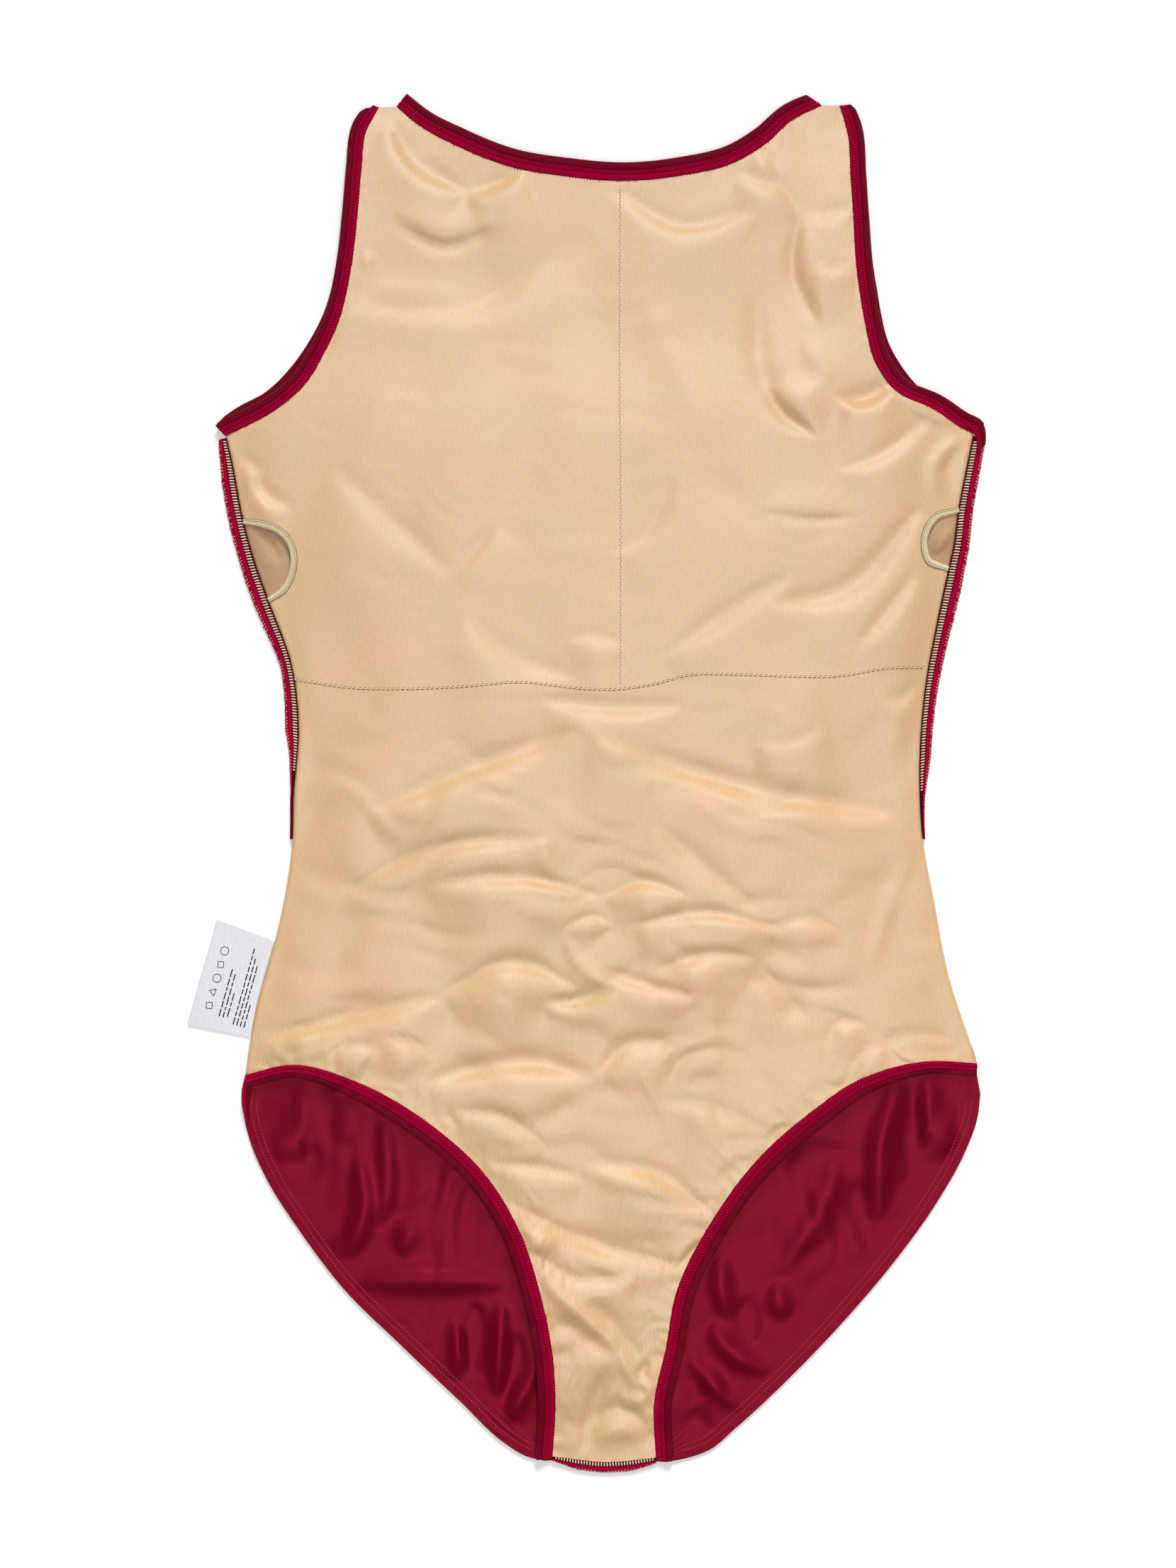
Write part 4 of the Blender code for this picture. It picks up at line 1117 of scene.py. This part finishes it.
# %% One hem with its braid
def stitched_hem(name, path, widths, side, slant=(0, 0)):
    """Rim and braid bed in one mesh, the braid's threads in another, the specks in a third.

    It lies on the front's underside, carried on past its edge.
    """
    place = ribbon(path, widths, side, front_under, start=HEM_START, slant=slant)
    cloth = band(name, place, HEM_SECTION, [HEM_SHELL, SHADED_CRIMSON], HEM_SLOTS)
    rungs = tubes(zigzag(place, -0.03, 0.37, ZIGZAG_PITCH, 1.48), ZIGZAG_THREAD, 5)
    loops = tubes(chain(place, 0.42, 0.050, CHAIN_PITCH, 1.75), CHAIN_THREAD, 5)
    outer = tubes(chain(place, 0.525, 0.042, CHAIN_PITCH, 1.80, shift=0.35), OUTER_THREAD, 5)
    braid = new_piece(name + "_braid", *together(rungs, loops, outer), [CRIMSON])
    dice = np.random.default_rng(len(name))
    starts = np.cumsum(dice.uniform(1.5, 7.0, 300))
    starts = starts[starts < place.length - 2]
    specks = dashes(place, starts, -0.075, 0.5, 1.2, lean=0.05, points=3)
    specks = new_piece(name + "_specks", *tubes(specks, SPECK_THREAD, 5), [WHITE_THREAD])
    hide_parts(name)
    return [cloth, braid, specks]


# %% All the front's hems
ARM_HEM, LEG_HEM_HIP = 7.8, 6.4    # widths of the armhole hem, and of the leg hem by the hip
ARM_HEM_WIDTHS = [(0, 6.6), (0.012, 7.9), (0.03, 8.3), (0.2, ARM_HEM), (0.95, ARM_HEM),
                  (0.985, 7.2), (1, 5.6)]
NECK_HEM_WIDTHS = [(0, 8.4), (0.15, 9.4), (0.85, 9.4), (1, 8.2)]
LEG_HEM_WIDTHS = [(0, 7.9), (0.006, 8.6), (0.02, 8.8), (0.72, 9.6), (0.92, LEG_HEM_HIP),
                  (1, LEG_HEM_HIP)]

front_trim = stitched_hem("neck_hem", lines["neck"], NECK_HEM_WIDTHS, 1, (0, -30))
for name, side in SIDES:
    front_trim += stitched_hem("armhole_hem_" + name, lines["arm_" + name], ARM_HEM_WIDTHS, side,
                               (-20, -30 if side > 0 else -10))
    front_trim += stitched_hem("leg_hem_" + name, lines["leg_" + name], LEG_HEM_WIDTHS, side,
                               (-16, 0))

# %% [markdown]
# Two hems turn round the side seam on their way to the back: the leg's at the left hip, where a
# short end lies along the opening's edge, and the armhole's at the right armpit, where it
# covers the end of the overlock. Each turned end is a short hem of its own that tapers away.

# %% The turned ends
HEM_TURNS = {                      # points, widths, and height over the back
    "leg_hem_turn": ([(-174.4, -148.0), (-176.2, -156), (-176.0, -164), (-173.8, -173)],
                     [(0, 5.0), (0.5, 4.2), (0.8, 2.6), (1, 0.8)], 0.1),
    "armhole_hem_turn": ([(191.8, 181.6), (195.6, 179.2), (197.5, 175.2), (198.2, 170.0)],
                         [(0, 4.2), (0.12, 6.4), (0.3, 6.8), (0.6, 5.2), (0.85, 4.0), (1, 1.6)],
                         0.9)}


def turned_end(name, knots, widths, lift):
    """A short hem along the given points, this much above the back's upper face."""
    place = ribbon(smooth_path(knots), widths, 1, lambda points: back_top(points) + lift,
                   start=0.0)
    cloth = band(name, place, HEM_SECTION, [HEM_SHELL, SHADED_CRIMSON], HEM_SLOTS, pitch=0.8)
    rungs = tubes(zigzag(place, 0.04, 0.42, ZIGZAG_PITCH, 1.45), ZIGZAG_THREAD, 5)
    loops = tubes(chain(place, 0.48, 0.05, CHAIN_PITCH, 1.7), OUTER_THREAD, 5)
    braid = new_piece(name + "_braid", *together(rungs, loops), [CRIMSON])
    return [cloth, braid]


for name, turn in HEM_TURNS.items():
    front_trim += turned_end(name, *turn)

# %% [markdown]
# ## Hems of the back
# At the legs the back's hem is turned under, so two rows of stitches show on the shell. At the
# arms and the neck only a sliver of the back's hem shows beside the front's.

# %% Topstitching and hidden hems
TOPSTITCH = ((4.2, 0.0), (7.0, 0.8))   # distance from the edge, offset along it
TOPSTITCH_PITCH, TOPSTITCH_LONG, TOPSTITCH_THREAD = 1.75, 1.1, 0.22


def on_table(points):
    """Height of the table."""
    return np.zeros(points.shape[:-1])


for name, side in (("left", -1), ("right", 1)):
    place = ribbon(lines["back_leg_" + name], [(0, 10), (1, 10)], side, back_top, start=0.0)
    rows = []
    for reach, offset in TOPSTITCH:
        starts = np.arange(9 + offset, place.length - 5, TOPSTITCH_PITCH)
        row = dashes(place, starts, reach / 10, TOPSTITCH_LONG, 0.03, bend=0.12)
        rows.append(tubes(row, TOPSTITCH_THREAD, 5))
    stitches = new_piece("back_topstitch_" + name, *together(*rows), [ROSE])

PLAIN_SECTION = rounded([(0, 1.2), (0, 0.6), (0.02, 0.05), (0.5, 0.0), (0.94, 0.05), (1, 0.5),
                         (0.99, 0.9), (0.93, 1.2), (0.5, 1.3), (0.02, 1.25)], 18)
for node, path, side, widths in (
        ("back_armhole_hem_left", lines["back_arm_left"], 1, ARM_HEM_WIDTHS),
        ("back_armhole_hem_right", lines["back_arm_right"], -1,
         [(0, 4.6), (0.15, 5.2), (0.35, 6.2), (0.5, ARM_HEM), (1, ARM_HEM)]),
        ("back_neck_hem", lines["back_neck"], 1, [(0, ARM_HEM), (1, ARM_HEM)])):
    place = ribbon(path, widths, side, on_table)
    hem = band(node, place, PLAIN_SECTION, [HEM_SHELL], np.zeros(len(PLAIN_SECTION), int))
    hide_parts(node)

# %% [markdown]
# ## Overlocked seams
# The side seams' allowances, and the crotch's, stick out of the seam, wrapped by an overlock:
# a ladder of beige rungs between two maroon chains next to the seam, then crimson thread over
# the cut edge, whose strands make a serrated outline with beige flecks between them.

# %% A seam allowance with its overlock
OVERLOCK_LEFT_WIDTHS = [(0, 0.8), (0.12, 1.2), (0.2, 3.4), (0.27, 6.2), (0.42, 5.0), (0.6, 6.8),
                        (0.9, 6.2), (1, 3.8)]
OVERLOCK_RIGHT_WIDTHS = [(0, 0.8), (0.1, 2.0), (0.2, 5.0), (0.35, 5.6), (0.62, 7.6), (0.9, 6.4),
                         (1, 5.8)]
CROTCH_WIDTHS = [(0, 2.2), (0.25, 5.0), (0.75, 5.2), (1, 3.0)]
ALLOWANCE = rounded([(-0.06, 0.1), (0.3, 0.05), (0.9, 0.1), (0.99, 0.6), (0.98, 1.3), (0.88, 1.9),
                     (0.6, 2.15), (0.3, 2.1), (0.02, 2.0), (-0.06, 1.4)], 22)
ALLOWANCE_SLOTS = np.where((ALLOWANCE[:, 0] < 0.46) & (ALLOWANCE[:, 1] > 0.9), 1, 0)
RUNG_PITCH, WRAP_PITCH = 1.45, 0.8
LADDER_WIDE = 2.4                  # the allowance has rungs only where it is wider than this
RUNG_THREAD, RUNG_SWELL = 0.20, 0.19   # a rung's radius at its ends, and more in its middle
EDGE_IN_THREAD, EDGE_OUT_THREAD, WRAP_THREAD = 0.26, 0.24, 0.36


def overlock(node, path, widths, side, start, lean):
    """The allowance, its ladder of rungs, its chains and the wraps over its edge."""
    place = ribbon(path, widths, side, on_table, start=start)
    cloth = band(node, place, ALLOWANCE, [CRIMSON, MAROON], ALLOWANCE_SLOTS, pitch=1.2)
    wide = np.interp(np.arange(0, place.length, RUNG_PITCH) / place.length, *zip(*widths))
    starts = np.arange(0.4, place.length - 1.6, RUNG_PITCH)
    keep = wide[:len(starts)] > LADDER_WIDE
    dice = np.random.default_rng(int(place.length))
    tilt = 0.9 + dice.normal(0, 0.12, keep.sum())
    t = np.linspace(0, 1, 6)[None, :]
    s = (starts[keep][:, None] + lean * tilt[:, None] * (t - 0.5)) / place.length
    r = np.broadcast_to(0.01 + 0.47 * t, s.shape)
    bend = 0.12 * np.sin(2 * np.pi * t) / place.length
    ladder = tubes(place(np.clip(s + bend, 0, 1), r, 2.12 + 0.35 * np.sin(np.pi * t)),
                   RUNG_THREAD + RUNG_SWELL * np.sin(np.pi * t) ** 0.5, 6)
    ladder = new_piece(node + "_ladder", *ladder, [BEIGE_THREAD])
    edge_in = tubes(chain(place, -0.02, 0.035, RUNG_PITCH, 2.1), EDGE_IN_THREAD, 5)
    edge_out = tubes(chain(place, 0.46, 0.035, RUNG_PITCH, 2.2), EDGE_OUT_THREAD, 5)
    chains = new_piece(node + "_chains", *together(edge_in, edge_out), [MAROON])
    starts = np.arange(0.3, place.length - 1.5, WRAP_PITCH)
    tips = 1.02 + np.abs(dice.normal(0, 0.035, len(starts)))
    s = (starts[:, None] - 0.9 * lean * (t - 0.5)) / place.length
    r = 0.54 + (tips[:, None] - 0.54) * t
    drop = 1.98 - 1.5 * np.clip((r - 0.82) / 0.25, 0, 1) ** 2
    wraps = tubes(place(np.clip(s, 0, 1), r, drop), WRAP_THREAD, 5)
    wraps = new_piece(node + "_wraps", *wraps, [CRIMSON])
    starts = np.arange(1.0, place.length - 1.5, 2 * WRAP_PITCH)
    starts = starts[dice.uniform(size=len(starts)) > 0.25] + 0.1
    s = (starts[:, None] - 1.1 * lean * (t - 0.5)) / place.length
    flecks = tubes(place(s, np.broadcast_to(0.86 + 0.19 * t, s.shape), 2.15 - 1.3 * t ** 2),
                   0.12 + 0.07 * np.sin(np.pi * t), 5)
    flecks = new_piece(node + "_flecks", *flecks, [BEIGE_THREAD])
    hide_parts(node)


for name, side, marks, widths in (("left", 1, LEFT_MARKS, OVERLOCK_LEFT_WIDTHS),
                                  ("right", -1, RIGHT_MARKS, OVERLOCK_RIGHT_WIDTHS)):
    path = between(lines["seam_" + name], WAIST, marks["armpit"] - 1)
    overlock("side_overlock_" + name, path, widths, side, 0.15, 1.0)
overlock("crotch_overlock", lines["crotch"], CROTCH_WIDTHS, -1, 0.1, 0.6)

# %% [markdown]
# ## Pad pockets
# Chest pads slip in through an opening beside each side seam. Its edge is bound with pale
# elastic thread: a flat ladder of rungs, with a chain of small dark eyes along its outer side.
# Inside lies the tan layer of the pocket.

# %% Bound openings
POCKET_END = 6                     # samples of the opening's line left bare at each end
POCKET_HEM = 3.4
POCKET_RUNG_PITCH, POCKET_RUNG_THREAD = 0.95, 0.30
POCKET_CHAIN_PITCH, POCKET_CHAIN_THREAD, EYE_THREAD = 1.3, 0.22, 0.17
POCKET_HEM_WIDTHS = [(0, 2.4), (0.15, POCKET_HEM), (0.85, POCKET_HEM), (1, 2.4)]
POCKET_SECTION = rounded([(0, 1.4), (0, 0.4), (0.05, 0.05), (0.5, 0.0), (0.95, 0.1), (1, 0.7),
                          (0.98, 1.15), (0.8, 1.45), (0.4, 1.6), (0.05, 1.55)], 18)
for name, side in SIDES:
    node = "pocket_hem_" + name
    place = ribbon(lines["pocket_" + name][POCKET_END:-POCKET_END], POCKET_HEM_WIDTHS, side,
                   front_under, start=0.25)
    bound = band(node, place, POCKET_SECTION, [CREAM_THREAD], np.zeros(len(POCKET_SECTION), int),
                 pitch=0.8)
    starts = np.arange(0.3, place.length - 0.6, POCKET_RUNG_PITCH)[:, None]
    t = np.linspace(0, 1, 5)[None, :]
    s = (starts + 0.35 * t) / place.length
    rungs = tubes(place(s, np.broadcast_to(0.34 + 0.60 * t, s.shape),
                        1.52 + 0.22 * 4 * t * (1 - t) - 0.25 * t), POCKET_RUNG_THREAD, 5)
    loops = tubes(chain(place, 0.13, 0.10, POCKET_CHAIN_PITCH, 1.62), POCKET_CHAIN_THREAD, 5)
    braid = new_piece(node + "_thread", *together(rungs, loops), [CREAM_THREAD])
    eyes = np.concatenate([dashes(place, starts[:, 0] + 0.3, r, 0.35, lift, points=3)
                           for r, lift in ((0.02, 1.6), (0.27, 1.72))])
    eyes = new_piece(node + "_eyes", *tubes(eyes, EYE_THREAD, 5), [OLIVE])
    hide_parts(node)

# %% The layer inside
POCKET_FOLDS = {"left": [(-168, 127, -162, 122, -156, 112, 3.5, -1.8)],
                "right": [(188, 132, 181, 124, 176, 117, 3, 2.0)]}
LAYER = 0.35                       # its thickness
for name, side in SIDES:
    inner = even(lines["pocket_" + name], 48)
    inner = inset(inner, [(0, 0.0), (0.08, 0.6), (0.92, 0.6), (1, 0.0)], side)
    seam = between(lines["seam_" + name], inner[0][1], inner[-1][1], 48)
    outer, near = (seam, inner) if side > 0 else (inner, seam)
    share = np.linspace(0, 1, 30)[None, :, None]
    plan = outer[:, None] * (1 - share) + near[:, None] * share
    mound = np.sin(np.pi * share[..., 0]) * np.sin(np.pi * np.linspace(0, 1, 49))[:, None]
    plan, mound = plan[1:-1], mound[1:-1]      # without the end rows, which are only points
    base = CLOTH + 0.15 + 1.7 * mound ** 1.5 + mound * ridges(plan, POCKET_FOLDS[name])
    layer = cloth_wall("pocket_layer_" + name, plan, rolled(base, plan, SIDE_ROLL_UNDER),
                       rolled(base + LAYER, plan, SIDE_ROLL), [POCKET_CLOTH], [0, 0, 0])
    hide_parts("pocket_layer_" + name)

# %% [markdown]
# ## Stitch lines of the lining
# A line of small pale stitches runs down the middle of the chest, and a seam runs across under
# the bust. Their stitches lie on the front's upper face, and between them short dark threads
# stand for the needle's holes and the shade of the seam.

# %% Centre line and underbust seam
CENTRE_LINE = [(16.4, 305.5), (16.0, 220), (16.6, 140), (16.4, 50)]
CENTRE_PITCH, CENTRE_THREAD, HOLE_THREAD = 1.55, 0.22, 0.17
UNDERBUST = [(-150.3, 53.2), (-117.5, 48.6), (-94.5, 48.2), (-64.6, 49.3), (-35, 51.5), (0, 48.2),
             (12, 47.9), (35, 51), (50, 55), (75, 55.5), (100, 54.6), (130, 55), (150, 58.5),
             (171.5, 59.3)]
UNDERBUST_PITCH, UNDERBUST_THREAD, SHADE_THREAD = 2.5, 0.28, 0.16


def front_face(points):
    """Height of the front's upper face."""
    return front_under(points) + CLOTH


place = ribbon(smooth_path(CENTRE_LINE), [(0, 1), (1, 1)], 1, front_face, start=0.0)
starts = np.arange(0.5, place.length - 2, CENTRE_PITCH)
zig = 0.28 * np.where(np.arange(len(starts)) % 2, 1, -1)[:, None]
centre = dashes(place, starts, zig, 0.95, 0.08, bend=0.10)
centre = new_piece("centre_stitches", *tubes(centre, CENTRE_THREAD, 5), [WHITE_THREAD])
holes = dashes(place, starts + 0.85, 0.5 * zig, 0.7, 0.06, points=3)
holes = new_piece("centre_shadows", *tubes(holes, HOLE_THREAD, 5), [OLIVE])

place = ribbon(smooth_path(UNDERBUST), [(0, 1), (1, 1)], 1, front_face, start=0.0)
starts = np.arange(1.0, place.length - 2, UNDERBUST_PITCH)
bust = dashes(place, starts, 0.25, 1.9, 0.10, lean=-0.5, bend=0.12)
bust = new_piece("underbust_stitches", *tubes(bust, UNDERBUST_THREAD, 5), [WHITE_THREAD])
edges = np.concatenate([dashes(place, starts + shift, r, 1.3, 0.02, points=3)
                        for shift, r in ((0.6, 0.48), (-0.1, -0.42))])
edges = new_piece("underbust_shadows", *tubes(edges, SHADE_THREAD, 5), [OLIVE])
front_trim += [centre, holes, bust, edges]

# %% [markdown]
# ## The care label
# A loop of white satin tape, pressed flat, is sewn into the left hip seam. It carries rows of
# short plain dashes and a few plain outlines, drawn as flattened threads.

# %% Label and its plain marks
LABEL_THICK, LABEL_WIDE = 0.8, 34  # the folded tape, and its width out of the seam
LABEL_UP, LABEL_CURL = 0.25, 0.35  # height of its underside, and the curl of its free edge
hip = between(lines["seam_left"], LABEL_LOW, LABEL_HIGH, 40)
held = inset(hip, [(0, GAP), (1, GAP)], 1)
free = even(np.array(LABEL_EDGE, float), 40)
share = np.concatenate([[0, 0.006, 0.014, 0.025, 0.04], np.linspace(0.07, 1, 26)])
plan = free[:, None] * (1 - share[None, :, None]) + held[:, None] * share[None, :, None]
edge = np.sqrt(1 - (1 - np.clip(share / 0.025, 0, 1)) ** 2)[None, :]
bow = np.sin(np.linspace(0.3, 2.6, 41))[:, None]
curl = LABEL_UP + LABEL_CURL * bow * (1 - share)[None, :] ** 2
over = curl + LABEL_THICK * (0.5 + 0.5 * edge)
under = curl + LABEL_THICK * (0.5 - 0.5 * edge) - 0.2
label = cloth_wall("care_label", plan, np.maximum(under, 0.0), over, [SATIN], [0, 0, 0])
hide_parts("care_label")


def on_label(points, lift):
    """Points given from the free edge's lower corner, along it and inwards, laid on the label."""
    up = (free[-1] - free[0]) / np.linalg.norm(free[-1] - free[0])
    inward = np.array([up[1], -up[0]])
    flat = free[0] + points[..., :1] * up + points[..., 1:] * inward
    curl = LABEL_CURL * np.clip(1 - points[..., 1] / LABEL_WIDE, 0, 1) ** 2
    z = LABEL_UP + LABEL_THICK + curl + lift
    return np.concatenate([flat, z[..., None]], axis=-1)


# %% Dashes in rows, and plain outlines
ROWS = ((14.5, 8, 34), (16.6, 8, 31), (18.7, 9, 22), (22.5, 6, 44), (24.4, 6, 42), (26.3, 6, 38),
        (28.2, 6, 17))             # place in from the free edge, and the row's two ends
WORD_GAP, WORD_THREAD, OUTLINE_THREAD = 0.9, 0.30, 0.17
OUTLINE_STEP, OUTLINE_SIZE, OUTLINE_IN = 7.2, 2.1, 8.2
dice = np.random.default_rng(21)
marks = []
for inward, low, high in ROWS:
    a = low
    while a < high:
        word = dice.uniform(1.6, 4.5)
        t = np.linspace(0, 1, 3)
        marks.append(np.stack([a + word * t, np.full(3, inward + 0.08 * (a % 1))], axis=-1))
        a += word + WORD_GAP
words = tubes(on_label(np.array(marks), 0.10), WORD_THREAD, 4, flat=0.25)
turn = np.linspace(0, 2 * np.pi, 25)
outlines = []
for k, corners in enumerate((4, 3, 24, 4, 24)):
    shape = 2 * np.pi * np.round(turn / (2 * np.pi) * corners) / corners
    ring = OUTLINE_SIZE * np.stack([np.cos(shape + 0.6), np.sin(shape + 0.6)], axis=-1)
    ring = np.array([12.0 + OUTLINE_STEP * k, OUTLINE_IN]) + ring
    steps = np.linalg.norm(np.diff(ring, axis=0), axis=1)
    kept = ring[np.concatenate([[True], steps > 1e-6])]
    outlines.append(tubes(on_label(even(kept, 36), 0.08)[None], OUTLINE_THREAD, 4, flat=0.3))
print_marks = new_piece("label_marks", *together(words, *outlines), [INK])
